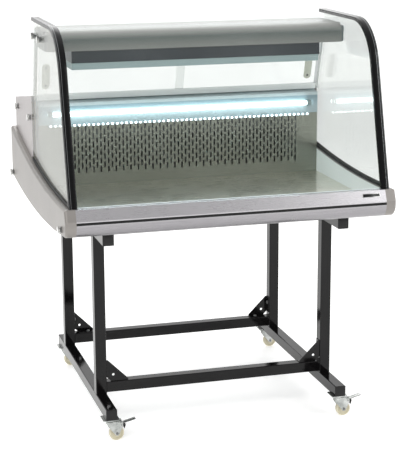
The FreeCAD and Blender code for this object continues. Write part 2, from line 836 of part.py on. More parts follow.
# ---- case: base and front ----
def make_base():
    """Save the base tub, the insulation below and behind the chamber, and the deck plate."""
    y_range = (beam_back + cut_margin / 2, rear - sheet - cut_margin / 2)
    fold_y, fold_z = y_range[0] + tub_fold_depth, case_bottom + tub_fold_rise
    outside = prism("x", (-base_half, base_half), (y_range[0], case_floor),
                    [(y_range[0], fold_z), (fold_y, case_bottom), (y_range[1], case_bottom),
                     (y_range[1], case_floor)])
    inner_y, inner_low, inner_high = y_range[0] + sheet, case_bottom + sheet, case_floor - sheet
    inside = prism("x", (sheet - base_half, base_half - sheet), (inner_y, inner_high),
                   [(inner_y, fold_z + sheet), (fold_y, inner_low), (y_range[1] - sheet, inner_low),
                    (y_range[1] - sheet, inner_high)])
    rim = base_half - rim_flange
    opening = box((-rim, rim), (y_range[0] + rim_flange, y_range[1] - rim_flange),
                  grown((case_floor - sheet, case_floor)))
    save("base_tub", outside.cut([inside, opening]))
    foam_rear = bulkhead_front + bulkhead_thickness
    slab_half, infill_half = base_half - sheet - fit_gap, rim - fit_gap
    foam_front = inner_y + fit_gap
    slab = prism("x", (-slab_half, slab_half), (foam_front, inner_high),
                 [(foam_front, fold_z + sheet), (fold_y, inner_low), (foam_rear, inner_low),
                  (foam_rear, inner_high)])
    infill = box((-infill_half, infill_half), (y_range[0] + rim_flange + fit_gap, foam_rear),
                 (case_floor - sheet, case_floor))
    wall_half = seam_x - 2 * sheet
    wall = box((-wall_half, wall_half), (bulkhead_front, foam_rear), (case_floor, bulkhead_top))
    save("insulation", slab.fuse([infill, wall]).removeSplitter())
    deck_range = (beam_back + sheet + fit_gap, chamber_rear - fit_gap)
    save("deck_plate", box((-chamber_half, chamber_half), deck_range, (case_floor, deck_top)))


def beam_outline():
    """Return the outside of the front beam in (y, z): a leaning upper face and a rounded lower one."""
    drop, reach = insert_level - insert_margin, chin_reach
    radius = (drop * drop + reach * reach) / (2 * reach)
    half_turn = math.asin(drop / radius) / 2
    middle = (beam_front + radius * (1 - math.cos(half_turn)),
              beam_bottom + drop - radius * math.sin(half_turn))
    return ((beam_front + beam_shoulder, beam_top),
            [(beam_front, insert_z + insert_margin), (beam_front, insert_z - insert_margin),
             (middle, (beam_front + reach, beam_bottom)), (beam_back, beam_bottom), (beam_back, beam_top)])


def make_front_beam():
    """Save the front beam, its insert strip and the blank badge plate, and return the front liner."""
    start, steps = beam_outline()
    span = (-seam_x, seam_x)
    hollow_top, hollow_low = beam_top - beam_head, beam_bottom + beam_wall
    hollow_front, hollow_back = beam_front + beam_nose_wall, beam_back - beam_wall
    cavity = prism("x", grown(span), (beam_front + beam_hollow_shoulder, hollow_top),
                   [(hollow_front, insert_z + beam_hollow_half), (hollow_front, insert_z - beam_hollow_half),
                    (beam_front + beam_hollow_chin, beam_bottom + beam_hollow_rise),
                    (beam_front + chin_reach, hollow_low), (hollow_back, hollow_low),
                    (hollow_back, hollow_top)])
    groove_z = around(insert_z, insert_height)
    groove = box(grown(span), (beam_front - cut_margin, beam_front + insert_depth), groove_z)
    seat = glass_band(grown(span), -glass - fit_gap, fit_gap, beam_top - glass_seat - fit_gap, 0)
    save("front_beam", prism("x", span, start, steps).cut([cavity, groove, seat]).removeSplitter())
    save("beam_insert_strip", box(span, (front, beam_front + insert_depth), groove_z))
    make_badge(start, steps[0])
    lap_edge = glass_foot()[0] + glass / math.cos(math.radians(glass_lean)) + liner_lap_gap
    return bent_sheet((liner_end_gap - seam_x, seam_x - liner_end_gap),
                      [(beam_back + sheet, case_floor), (beam_back + sheet, beam_top + sheet),
                       (lap_edge, beam_top + sheet)], sheet)


def make_badge(face_top, face_foot):
    """Save the blank badge plate, on the upper face of the front beam between two (y, z) points."""
    slope = math.dist(face_top, face_foot)
    up = ((face_top[0] - face_foot[0]) / slope, (face_top[1] - face_foot[1]) / slope)
    out = (-up[1], up[0])
    low = (slope - badge_height) / 2 + badge_rise
    high = low + badge_height
    corners = [(face_foot[0] + up[0] * along + out[0] * lift, face_foot[1] + up[1] * along + out[1] * lift)
               for along, lift in ((low, 0), (low, badge_thickness), (high, badge_thickness), (high, 0))]
    right = seam_x - badge_inset
    save("badge_plate", prism("x", (right - badge_length, right), corners[0], corners[1:]))


def end_panel_outline():
    """Return the outline of an end panel in (y, z), from the nose over the top to the rear and back below."""
    top_front, top_middle, top_rear = panel_top_ends()
    start, steps = beam_outline()
    foot = (rear - end_panel_corner, beam_bottom)
    belly = ((beam_back + foot[0]) / 2, beam_bottom - panel_belly)
    belly_radius = arc_circle([(beam_back, beam_bottom), belly, foot])[2]
    slope = math.asin((foot[0] - beam_back) / (2 * belly_radius))
    corner = end_panel_corner / (1 - math.sin(slope))

    def on_corner(angle):
        return (foot[0] + corner * (math.sin(angle) - math.sin(slope)),
                foot[1] + corner * (math.cos(slope) - math.cos(angle)))

    return start, steps[:3] + [(beam_back, beam_bottom), (belly, foot),
                               (on_corner((slope + math.pi / 2) / 2), on_corner(math.pi / 2)),
                               top_rear, (top_middle, top_front)]


def make_end_panels(front_liner):
    """Save the moulded end panels, the chamber's liners and the glass seals."""
    start, steps = end_panel_outline()
    outside = prism("x", (seam_x, half_width), start, steps)
    outer_edges = [edge for edge in outside.Edges
                   if all(abs(v.Point.x - half_width) < 1e-6 for v in edge.Vertexes)]
    outside = outside.makeFillet(end_panel_round, outer_edges)
    pocket_face = outline_face("x", seam_x, start, steps).makeOffset2D(-end_panel_wall)
    pocket = pocket_face.extrude(Vector(end_panel_thickness - end_panel_wall, 0, 0))
    bay_front = side_glass_rear - sheet - 2 * fit_gap
    bay = box((seam_x - cut_margin, housing_x + fit_gap), (bay_front, rear + cut_margin),
              grown((case_bottom, case_bottom + housing_front_level), base_height))
    through = end_panel_thickness + 2 * cut_margin
    holes = [rod(screw_radius + bolt_clearance, through, (seam_x - cut_margin, y, z), (1, 0, 0))
             for y, z in panel_screw_places]
    panel = max(outside.cut([pocket, bay] + holes).Solids, key=lambda solid: solid.Volume)
    save("end_panel_right", panel)
    save("end_panel_left", mirrored(panel))
    liner_front, liner_rear = beam_back + 2 * sheet + cut_margin, side_glass_rear - sheet - cut_margin
    top = along_panel_top(liner_front, liner_rear, -liner_end_gap)
    liner = prism("x", (seam_x - sheet, seam_x), (liner_front, case_floor),
                  [(liner_rear, case_floor), top[2], (top[1], top[0])])
    save("chamber_liners", [front_liner] + both_sides(liner))
    save("glass_seals", both_sides(seal_piece()))


def seal_piece():
    """Return the channel seal along the foot of a side pane."""
    lean = math.radians(glass_lean)
    low = glass_foot()[0] + (glass + edge_profile_inner) / math.cos(lean)
    low += seal_height * math.tan(lean) + fit_gap
    upper = along_panel_top(low, side_glass_rear, seal_height)
    lower = along_panel_top(low, side_glass_rear, 0)
    left = panel_side_x - (seal_width - glass) / 2
    steps = [upper[0], (upper[1], upper[2]), lower[2], (lower[1], lower[0])]
    seal = prism("x", (left, left + seal_width), lower[0], steps)
    slot = side_glass_face(0, seal_seat, grown((panel_side_x, glass_outer_x), fit_gap))
    return max(seal.cut(slot).Solids, key=lambda solid: solid.Volume)


# ---- hand screws: their places and their shape ----
panel_screw_places = [(front + panel_screw_front, case_bottom + panel_screw_rise),
                      (rear - panel_screw_rear, case_bottom + panel_screw_rise)]
housing_screw_places = [(side_glass_rear + housing_screw_front, case_bottom + housing_screw_rise),
                        (rear - housing_screw_rear, case_bottom + housing_screw_rise)]
roof_screw_places = [(roof_front + roof_screw_front, case_bottom + roof_screw_rise),
                     (side_glass_top_rear - roof_screw_rear, case_bottom + roof_screw_rise)]


def hand_screw(seat_x, length, y, z):
    """Return a hand screw on the right: a shank, a flange and a knurled round head."""
    shank = rod(screw_radius, length + cut_margin, (seat_x - length, y, z), (1, 0, 0))
    flange = rod(screw_flange_radius, screw_flange, (seat_x, y, z), (1, 0, 0))
    neck = rod(screw_neck_radius, screw_neck_end + cut_margin, (seat_x, y, z), (1, 0, 0))
    head = rod(screw_head_radius, screw_head, (seat_x + screw_neck_end, y, z), (1, 0, 0))
    return shank.fuse([flange, neck, head]).removeSplitter()


def make_hand_screws():
    """Save the round-headed screws that hold the panels, the housing and the roof."""
    groups = ((panel_screw_places, half_width, end_panel_thickness + fit_gap),
              (housing_screw_places, housing_x, screw_length),
              (roof_screw_places, glass_outer_x + bolt_clearance, screw_length))
    screws = []
    for places, seat_x, length in groups:
        for y, z in places:
            screws += both_sides(hand_screw(seat_x, length, y, z))
    save("hand_screws", screws)


# ---- case: glass ----
def make_glass():
    """Save the curved front glass, the side panes and the edge profiles."""
    side_end = glass_outer_x + glass_end_lap
    foot_z = beam_top - glass_seat
    pane = glass_band((-side_end, side_end), -glass, 0, foot_z, edge_profile_rear - 2)
    foot_cut = box((seam_x - liner_end_gap, side_end + cut_margin), (front, front + roof_depth),
                   (foot_z - cut_margin, beam_top + cut_margin))
    save("curved_front_glass", pane.cut(both_sides(foot_cut)).removeSplitter())
    side = side_glass_face(fit_gap, seal_seat + fit_gap, (panel_side_x, glass_outer_x))
    holes = [rod(screw_radius + 2 * bolt_clearance, glass + 2 * cut_margin, (panel_side_x - cut_margin, y, z),
                 (1, 0, 0)) for y, z in roof_screw_places]
    save("side_glass", both_sides(side.cut(holes)))
    x_high = side_end + fit_gap + edge_profile_rim
    x_low = x_high - edge_profile_width
    low_z, rear_y = foot_z - cut_margin, edge_profile_rear
    body = glass_band((x_low, x_high), -glass - edge_profile_inner, edge_profile_outer, low_z, rear_y)
    slot = glass_band((x_low - cut_margin, side_end + fit_gap), -glass - fit_gap / 2, fit_gap / 2,
                      low_z - cut_margin, rear_y + cut_margin)
    side_slot = glass_band(grown((panel_side_x, glass_outer_x), fit_gap), -edge_profile_width - glass,
                           fit_gap / 3 - glass, low_z - cut_margin, rear_y + cut_margin)
    below = box(grown((x_low, x_high)), (front - cut_margin, edge_profile_rear),
                (low_z - beam_height, beam_top + fit_gap))
    profile = max(body.cut([slot, side_slot, below]).Solids, key=lambda solid: solid.Volume)
    save("glass_edge_profiles", both_sides(profile))


# ---- case: roof and lamp box ----
def make_roof():
    """Save the roof sheet and its end brackets."""
    top, inner, bend = roof_top, roof_bend - sheet, math.sqrt(0.5)
    centre = (roof_front + roof_bend, top - roof_bend)
    flange_low = top - roof_rear_flange
    steps = [(roof_rear, top), (centre[0], top),
             ((centre[0] - roof_bend * bend, centre[1] + roof_bend * bend), (roof_front, centre[1])),
             (roof_front, lip_low), (roof_front + roof_return, lip_low),
             (roof_front + roof_return, lip_low + sheet), (roof_front + sheet, lip_low + sheet),
             (roof_front + sheet, centre[1]),
             ((centre[0] - inner * bend, centre[1] + inner * bend), (centre[0], top - sheet)),
             (roof_rear - sheet, top - sheet), (roof_rear - sheet, flange_low)]
    save("roof_panel", prism("x", (-roof_half, roof_half), (roof_rear, flange_low), steps))
    bracket_rear = door_plane(top) - cut_margin
    bracket_x = (roof_half + fit_gap, panel_side_x - fit_gap)
    bracket = box(bracket_x, (roof_front + 4, bracket_rear), (lip_low + 2, top - 10))
    through = roof_side_gap + 2 * cut_margin
    holes = [rod(screw_radius + bolt_clearance, through, (roof_half - cut_margin, y, z), (1, 0, 0))
             for y, z in roof_screw_places]
    flange_top = top - sheet - bolt_clearance
    flange_y = (roof_front + bracket_setback, bracket_rear - 10)
    flange_z = (flange_top - bracket_sheet, flange_top)
    flange = box((roof_half - bracket_flange, bracket_x[1]), flange_y, flange_z)
    link = box(bracket_x, flange_y, (top - 11, flange_top))
    save("roof_brackets", both_sides(bracket.cut(holes).fuse([link, flange]).removeSplitter()))


def make_lamp_box():
    """Save the lamp box that hangs below the roof, and its cover."""
    half = seam_x - lamp_box_inset
    y_low = roof_front + lamp_box_setback
    y_high = y_low + lamp_box_depth
    top = lip_low - fit_gap
    low = top - lamp_box_height
    shell = box((-half, half), (y_low, y_high), (low, top))
    core = box((sheet - half, half - sheet), (y_low + sheet, y_high - sheet), (low - cut_margin, top - sheet))
    hangers = [box(around(x, hanger_width), (y, y + hanger_depth), (top, roof_top - sheet))
               for x in (hanger_inset - half, half - hanger_inset)
               for y in (roof_front + bracket_setback, y_high - hanger_rear)]
    save("lamp_box", shell.cut(core).fuse(hangers).removeSplitter())
    cover_low = low - lamp_cover_height
    rim_low, rim_high = y_low + lamp_cover_lap, y_high - lamp_cover_lap
    cover = prism("x", (lamp_cover_lap - half, half - lamp_cover_lap), (rim_low, low),
                  [(rim_low + lamp_cover_slope, cover_low), (rim_high - lamp_cover_slope, cover_low),
                   (rim_high, low)])
    save("lamp_cover", cover)


# ---- case: refrigerated chamber ----
def slot_loop(x, y, z):
    """Return the outline of one round-ended grille slot."""
    radius = slot_width / 2
    straight = slot_length / 2 - radius
    left, right = Vector(x - radius, y, z - straight), Vector(x + radius, y, z - straight)
    rise = Vector(0, 0, 2 * straight)
    crown, foot = Vector(x, y, z + straight + radius), Vector(x, y, z - straight - radius)
    return Part.Wire([Part.LineSegment(left, left + rise).toShape(),
                      Part.Arc(left + rise, crown, right + rise).toShape(),
                      Part.LineSegment(right + rise, right).toShape(),
                      Part.Arc(right, foot, left).toShape()])


def make_air_grille():
    """Save the slotted air grille at the back of the chamber."""
    high = case_bottom + canopy_level - canopy_height - canopy_rise
    corners = [Vector(x, chamber_rear, z)
               for x, z in ((-chamber_half, case_floor), (chamber_half, case_floor),
                            (chamber_half, high), (-chamber_half, high))]
    loops = [Part.makePolygon(corners + corners[:1])]
    columns = int(2 * (seam_x - slot_margin_x) / slot_pitch_x) + 1
    first_z = deck_top + grille_foot + slot_length / 2
    for column in range(columns):
        x = (column - (columns - 1) / 2) * slot_pitch_x
        for row in range(slot_rows):
            z = first_z + (row + 0.5 * (column % 2)) * slot_pitch_z
            if z + slot_length / 2 < high - slot_margin_z:
                loops.append(slot_loop(x, chamber_rear, z))
    plate = Part.Face(loops)
    plate.validate()
    save("air_grille", plate.extrude(Vector(0, sheet, 0)))


def make_canopy():
    """Save the lamp canopy above the grille, with its tube and its strip."""
    top = case_bottom + canopy_level - canopy_rise
    low = top - canopy_height
    back = side_glass_rear - fit_gap
    face_y = chamber_rear - 2 * sheet
    canopy = bent_sheet((-chamber_half, chamber_half),
                        [(chamber_rear + hanger_depth + 4, low), (face_y + sheet, low), (face_y + sheet, top),
                         (back, top + canopy_rise), (back, top - canopy_hem)], -sheet)
    save("lamp_canopy", canopy)
    tube_z = low + canopy_height / 2
    tube_y = face_y - led_tube_radius - led_tube_gap
    half = seam_x - led_inset
    lamps = [rod(led_tube_radius, 2 * half, (-half, tube_y, tube_z), (1, 0, 0))]
    for x in (led_clip_inset - half, half - led_clip_inset):
        span = around(x, led_clip_length)
        clip = box(span, (tube_y, face_y), around(tube_z, 2 * (led_tube_radius - cut_margin)))
        ring = rod(led_tube_radius + led_clip_wall, led_clip_length, (span[0], tube_y, tube_z), (1, 0, 0))
        bore = rod(led_tube_radius + running_clearance, led_clip_length + 2 * cut_margin,
                   (span[0] - cut_margin, tube_y, tube_z), (1, 0, 0))
        lamps.append(ring.fuse(clip).cut(bore).removeSplitter())
    lamps.append(box((-half, half), (chamber_rear - led_strip_depth - sheet, chamber_rear - sheet),
                     (low - led_strip_height, low)))
    save("led_lamps", lamps)


def fan_rotor(radius, hub, depth, start, blades):
    """Return a fan rotor on an axis along Y: a hub, bored for the motor shaft, and pitched blades."""
    x, y, z = start
    pieces = []
    for k in range(blades):
        blade = Part.makeBox(radius - hub + 1, blade_sheet, depth * blade_reach,
                             Vector(hub - 1, -blade_sheet / 2, -depth * blade_reach / 2))
        blade.rotate(Vector(0, 0, 0), Vector(1, 0, 0), blade_pitch)
        blade.rotate(Vector(0, 0, 0), Vector(0, 1, 0), 360.0 * k / blades)
        blade.translate(Vector(x, y + depth / 2, z))
        pieces.append(blade)
    bore = rod(motor_shaft_radius + running_clearance, 3 * depth, (x, y - depth, z), (0, 1, 0))
    return rod(hub, depth, start, (0, 1, 0)).fuse(pieces).cut(bore).removeSplitter()


def make_evaporator():
    """Save the evaporator, its fan plate and its fan."""
    low, half = case_floor + evaporator_foot, seam_x - evaporator_inset
    coil_y = (chamber_rear + evaporator_setback, chamber_rear + evaporator_setback + evaporator_depth)
    pieces = [box(around(x, foot_width), coil_y, (case_floor, low))
              for x in (hanger_depth - half, half - hanger_depth)]
    pitch = evaporator_height / evaporator_pipe_rows
    for row in range(evaporator_pipe_rows):
        z = low + (row + 0.5) * pitch
        for x, sign in ((-half, -1), (half, 1)):
            pieces += [rod(evaporator_pipe_radius, evaporator_pipe_end, (x, y, z), (sign, 0, 0))
                       for y in (coil_y[0] + evaporator_pipe_end, coil_y[1] - evaporator_pipe_end)]
    fins = box((-half, half), coil_y, (low, low + evaporator_height))
    save("evaporator", fins.fuse(pieces).removeSplitter())
    plate_y = coil_y[1] + fan_plate_gap
    fan_z = low + evaporator_height / 2
    opening = evaporator_fan_radius + fan_tip_gap
    plate_half = seam_x - 2 * sheet
    plate = box((-plate_half, plate_half), (plate_y, plate_y + sheet), (case_floor, bulkhead_top))
    plate = plate.cut(rod(opening, sheet + 2 * cut_margin, (0, plate_y - cut_margin, fan_z), (0, 1, 0)))
    bar_y = (plate_y + fan_bar_offset, plate_y + fan_bar_offset + fan_bar)
    bar_z, reach = around(fan_z, fan_bar_height), opening + fan_bar_leg
    fan_y = plate_y + fan_bar_leg
    shaft_y = fan_y + fan_bar_leg
    stub = fan_y + evaporator_fan_depth + 2 * fit_gap
    arms = [box((-reach, reach), bar_y, bar_z), box((-reach, -opening), (plate_y, bar_y[1]), bar_z),
            box((opening, reach), (plate_y, bar_y[1]), bar_z),
            rod(motor_shaft_radius + 2, bar_y[0] - stub + cut_margin, (0, stub, fan_z), (0, 1, 0)),
            rod(motor_shaft_radius, bar_y[0] - shaft_y, (0, shaft_y, fan_z), (0, 1, 0))]
    save("evaporator_fan_plate", plate.fuse(arms).removeSplitter())
    save("evaporator_fan", fan_rotor(evaporator_fan_radius, evaporator_fan_hub, evaporator_fan_depth,
                                     (0, fan_y, fan_z), evaporator_fan_blades))


# ---- case: machine bay ----
def vent_group(columns, rows, sign):
    """Return the cutters of one group of louvre slots, counted inwards from one side of the housing."""
    cutters = []
    for column in range(columns):
        outer = housing_x - vent_inset - column * (vent_length + vent_gap)
        span = sorted((sign * outer, sign * (outer - vent_length)))
        for row in range(rows):
            z = case_floor + vent_foot + row * vent_pitch
            cutters.append(box(span, grown((rear - sheet, rear)), (z, z + vent_height)))
    return cutters


def make_rear_housing():
    """Save the sheet housing of the machine bay."""
    top_front, top_rear = case_bottom + housing_front_level, case_bottom + housing_rear_level
    back, inner = side_glass_rear - cut_margin, housing_x - sheet
    outer = prism("x", (-housing_x, housing_x), (side_glass_rear, case_floor),
                  [(rear, case_floor), (rear, top_rear), (side_glass_rear, top_front)])
    core = prism("x", (-inner, inner), (back, case_floor + sheet),
                 [(rear - sheet, case_floor + sheet), (rear - sheet, top_rear - sheet),
                  (back, top_front - sheet)])
    rim = housing_x - rim_flange
    opening = box((-rim, rim), (back, rear - rim_flange), grown((case_floor, case_floor + sheet)))
    wall = grown((rear - sheet, rear))
    cuts = [core, opening] + vent_group(right_vent_columns, right_vent_rows, 1)
    cuts += vent_group(left_vent_columns, left_vent_rows, -1)
    cuts.append(box(around(control_x, control_window_x), wall, around(control_z, control_window_z)))
    cuts.append(box(around(inlet_x, inlet_length + bolt_clearance), wall,
                    around(control_z, inlet_height + bolt_clearance)))
    for x in (-housing_x - cut_margin, inner - cut_margin):
        cuts += [rod(screw_radius + bolt_clearance, sheet + 2 * cut_margin, (x, y, z), (1, 0, 0))
                 for y, z in housing_screw_places]
    save("rear_housing", max(outer.cut(cuts).Solids, key=lambda solid: solid.Volume))


def make_controls():
    """Save the control panel with its rocker switch, and the temperature controller."""
    x, z, face_y = control_x, control_z, rear - sheet
    plate = rounded_bar("y", (face_y - control_plate, face_y), (x, z), (control_length, control_height),
                        control_corner)
    bezel = box(around(x, control_window_x - 2 * fit_gap), (face_y - cut_margin, rear),
                around(z, control_window_z - 2 * fit_gap))
    display_x = x - controller_offset
    display = box(around(display_x, controller_length), grown((face_y - control_plate, rear)),
                  around(z, controller_height))
    switch_x = x + switch_offset
    socket_low = face_y - switch_socket_depth - switch_floor
    socket_y = (socket_low, face_y - switch_floor)
    socket = box(around(switch_x, switch_length), socket_y, around(z, switch_height))
    hollow_x, hollow_z = switch_length - 2 * switch_wall, switch_height - 2 * switch_floor
    hollow_y = (socket_low + switch_floor, rear + cut_margin)
    hollow = box(around(switch_x, hollow_x), hollow_y, around(z, hollow_z))
    save("control_panel", plate.fuse(bezel).cut(display).fuse(socket).cut(hollow).removeSplitter())
    body_y = rear - controller_recess
    save("temperature_controller", box(around(display_x, controller_length - 2 * bolt_clearance),
                                       (body_y - controller_depth, body_y),
                                       around(z, controller_height - 2 * bolt_clearance)))
    pivot_y = face_y - 3 * switch_floor
    tip = hollow_z / 2 - switch_floor
    rocker = prism("x", around(switch_x, hollow_x - 2 * switch_rocker_gap), (pivot_y + 1, z + 1 - tip),
                   [(face_y + 1.2, z - tip), (face_y - 0.6, z), (face_y - 1.4, z + tip),
                    (pivot_y - 1, z + tip - 1), (pivot_y - 4, z)])
    save("power_switch", rocker)


def make_power_inlet():
    """Save the appliance inlet with its three pins."""
    x, z = inlet_x, control_z
    face_y, floor_y = rear - sheet, rear - inlet_depth
    body = box(around(x, inlet_length), (floor_y, rear - bolt_clearance), around(z, inlet_height))
    flange = box(around(x, inlet_length + 2 * inlet_flange), (face_y - inlet_flange_sheet, face_y),
                 around(z, inlet_height + 2 * inlet_flange))
    mouth = box(around(x, inlet_length - 2 * inlet_wall), (floor_y + inlet_floor, rear + cut_margin),
                around(z, inlet_height - 2 * inlet_wall))
    pin_y = (floor_y + inlet_floor - cut_margin, rear - 2 * inlet_wall)
    pins = [box(around(x + dx, inlet_wall), pin_y, around(z + dz, 2 * inlet_wall))
            for dx, dz in ((-7, -2), (0, 2), (7, -2))]
    save("power_inlet", body.fuse(flange).cut(mouth).fuse(pins).removeSplitter())


def make_compressor():
    """Save the compressor: a pot of two pressed shells on four legs and a foot plate."""
    x, y = compressor_x, rear - compressor_from_rear
    foot = rounded_bar("z", (machine_floor, machine_floor + compressor_foot_sheet), (x, y),
                       (compressor_foot_length, compressor_foot_width), 3 * compressor_foot_sheet)
    low, radius, lap = machine_floor + compressor_lift, compressor_radius, compressor_seam
    middle, high = low + compressor_height / 2, low + compressor_height
    pot = turned([(0, low), (radius - 8 * lap, low), (radius - lap, low + 8 * lap), (radius, middle - lap),
                  (radius + lap, middle), (radius + lap, middle + 3 * lap), (radius, middle + 4 * lap),
                  (radius - 2 * lap, high - 14 * lap), (radius - 12 * lap, high - 3 * lap), (0, high)],
                 (x, y, 0))
    legs = [rod(compressor_leg_radius, 2 * compressor_lift, (x + dx, y + dy, machine_floor), (0, 0, 1))
            for dx in (-compressor_leg_x, compressor_leg_x) for dy in (-compressor_leg_y, compressor_leg_y)]
    save("compressor", foot.fuse([pot] + legs).removeSplitter())


def make_condenser():
    """Save the condenser, its fan and the shroud that carries the fan's motor."""
    x, y = condenser_x, rear - condenser_from_rear
    coil_low = machine_floor + condenser_foot
    coil_x, coil_z = around(x, condenser_width), (coil_low, coil_low + condenser_height)
    coil = box(coil_x, (y, y + condenser_depth), coil_z)
    feet = [box(around(foot_x, condenser_foot_width), (y, y + condenser_depth), (machine_floor, coil_low))
            for foot_x in (coil_x[0] + condenser_foot_inset, coil_x[1] - condenser_foot_inset)]
    save("condenser", coil.fuse(feet).removeSplitter())
    z, face_y = coil_low + condenser_height / 2, y - shroud_depth
    shroud = box(coil_x, (face_y, y), coil_z)
    inside = box((coil_x[0] + sheet, coil_x[1] - sheet), (face_y + sheet, y + cut_margin),
                 (coil_z[0] + sheet, coil_z[1] - sheet))
    mouth = rod(shroud_bore, sheet + 2 * cut_margin, (x, face_y - cut_margin, z), (0, 1, 0))
    bar_y, bar_z = y - condenser_bar_offset, around(z, condenser_bar_height)
    motor_y = bar_y + condenser_bar
    shaft_y = motor_y + condenser_motor_length - cut_margin
    motor = [box(coil_x, (bar_y, motor_y), bar_z),
             rod(condenser_motor_radius, condenser_motor_length, (x, motor_y, z), (0, 1, 0)),
             rod(motor_shaft_radius, condenser_fan_depth + 4, (x, shaft_y, z), (0, 1, 0))]
    motor += [box((end, end + condenser_bar_leg), (bar_y, face_y + sheet), bar_z)
              for end in (coil_x[0], coil_x[1] - condenser_bar_leg)]
    save("condenser_shroud", shroud.cut([inside, mouth]).fuse(motor).removeSplitter())
    save("condenser_fan", fan_rotor(condenser_fan_radius, condenser_fan_hub, condenser_fan_depth,
                                    (x, face_y, z), condenser_fan_blades))


# ---- case: serving side ----
def door_plane(z):
    """Return the Y of the door tracks' front face at a level, leaning with the side panes' rear edge."""
    top_z = case_bottom + glass_top_height - glass
    low_z = case_bottom + canopy_level
    share = (z - low_z) / (top_z - low_z)
    return side_glass_rear + (side_glass_top_rear - side_glass_rear) * share - track_width


def leaning_bar(x_limits, z_limits, y_shift, thickness):
    """Return a plate parallel to the doors, between two levels."""
    low, high = z_limits
    a, b = door_plane(low) + y_shift, door_plane(high) + y_shift
    return prism("x", x_limits, (a, low), [(a + thickness, low), (b + thickness, high), (b, high)])


def make_doors():
    """Save the two sliding doors with their pulls, the tracks and the rear posts."""
    low = case_bottom + canopy_level + track_lift
    high = roof_top - sheet - track_roof_gap
    half = panel_side_x - door_inset
    span = (-half, half)
    track_low, track_high = low - track_foot, high + track_head
    door_z = (low + door_groove_depth, high - door_groove_depth)
    shifts = {"right": door_groove_depth, "left": door_groove_depth + door_thickness + door_gap}
    grooves = [leaning_bar(grown(span), grown(door_z, door_groove_gap), shift - door_groove_gap,
                           door_thickness + 2 * door_groove_gap) for shift in shifts.values()]
    tracks = [leaning_bar(span, limits, 0, track_width)
              for limits in ((track_low, low + track_height), (high - track_height, track_high))]
    save("door_tracks", [track.cut(grooves) for track in tracks])
    reach, lap = half - door_side_gap, door_overlap / 2
    for name, limits, pull_x in (("left", (-reach, lap), pull_inset - reach),
                                 ("right", (-lap, reach), reach - pull_inset)):
        save("rear_door_" + name, leaning_bar(limits, door_z, shifts[name], door_thickness))
        pull_z = (low + pull_rise, low + pull_rise + pull_length)
        pull = leaning_bar(around(pull_x, pull_width), pull_z, shifts[name] + door_thickness, pull_sheet)
        save("door_pull_" + name, pull)
    post_x = (half + fit_gap, panel_side_x - fit_gap)
    save("door_posts", both_sides(leaning_bar(post_x, (track_low, track_high), 0, track_width)))


make_side_frames()
make_cross_beams()
make_gussets()
make_end_caps()
make_casters()
make_base()
make_end_panels(make_front_beam())
make_glass()
make_roof()
make_lamp_box()
make_air_grille()
make_canopy()
make_evaporator()
make_rear_housing()
make_controls()
make_power_inlet()
make_compressor()
make_condenser()
make_doors()
make_hand_screws()

os.makedirs("parts", exist_ok=True)
for node_name, shape in nodes.items():
    shape.exportStep("parts/" + node_name + ".step")
print(len(nodes), "nodes")
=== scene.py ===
"""Looks of a refrigerated counter display on a wheeled stand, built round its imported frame."""

import logging
import math
from abc import ABC, abstractmethod
from dataclasses import dataclass, field
from enum import Enum
from typing import Iterable, Sequence

import bmesh
import bpy
from mathutils import Matrix, Vector


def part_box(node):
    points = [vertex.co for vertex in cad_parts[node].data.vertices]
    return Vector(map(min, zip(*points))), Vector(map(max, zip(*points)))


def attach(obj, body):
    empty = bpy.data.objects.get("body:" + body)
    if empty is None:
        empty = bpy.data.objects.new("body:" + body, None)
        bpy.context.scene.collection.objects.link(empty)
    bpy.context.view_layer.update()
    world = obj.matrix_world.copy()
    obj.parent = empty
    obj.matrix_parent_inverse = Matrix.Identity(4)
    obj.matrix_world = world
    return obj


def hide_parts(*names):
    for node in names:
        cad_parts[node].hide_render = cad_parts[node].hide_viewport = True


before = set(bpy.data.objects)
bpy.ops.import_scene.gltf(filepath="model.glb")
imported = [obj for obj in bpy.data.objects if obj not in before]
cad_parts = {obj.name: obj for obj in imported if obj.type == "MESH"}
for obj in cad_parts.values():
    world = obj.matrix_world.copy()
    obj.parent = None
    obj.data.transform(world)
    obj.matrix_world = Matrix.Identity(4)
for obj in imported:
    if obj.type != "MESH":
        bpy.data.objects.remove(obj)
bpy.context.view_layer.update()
log = logging.getLogger("display_counter")
logging.basicConfig(level=logging.INFO, format="%(name)s: %(message)s")

Colour = tuple[float, float, float]
Point = tuple[float, float, float]


def paint(code: str) -> Colour:
    """Turn a paint chart code such as 'c0ffee' into the linear colour that shaders use."""
    parts = [int(code[k:k + 2], 16) / 255 for k in (0, 2, 4)]
    return tuple(p / 12.92 if p <= 0.04045 else ((p + 0.055) / 1.055) ** 2.4 for p in parts)


# ---------------------------------------------------------------------------------------------------
# Shader maths
# ---------------------------------------------------------------------------------------------------


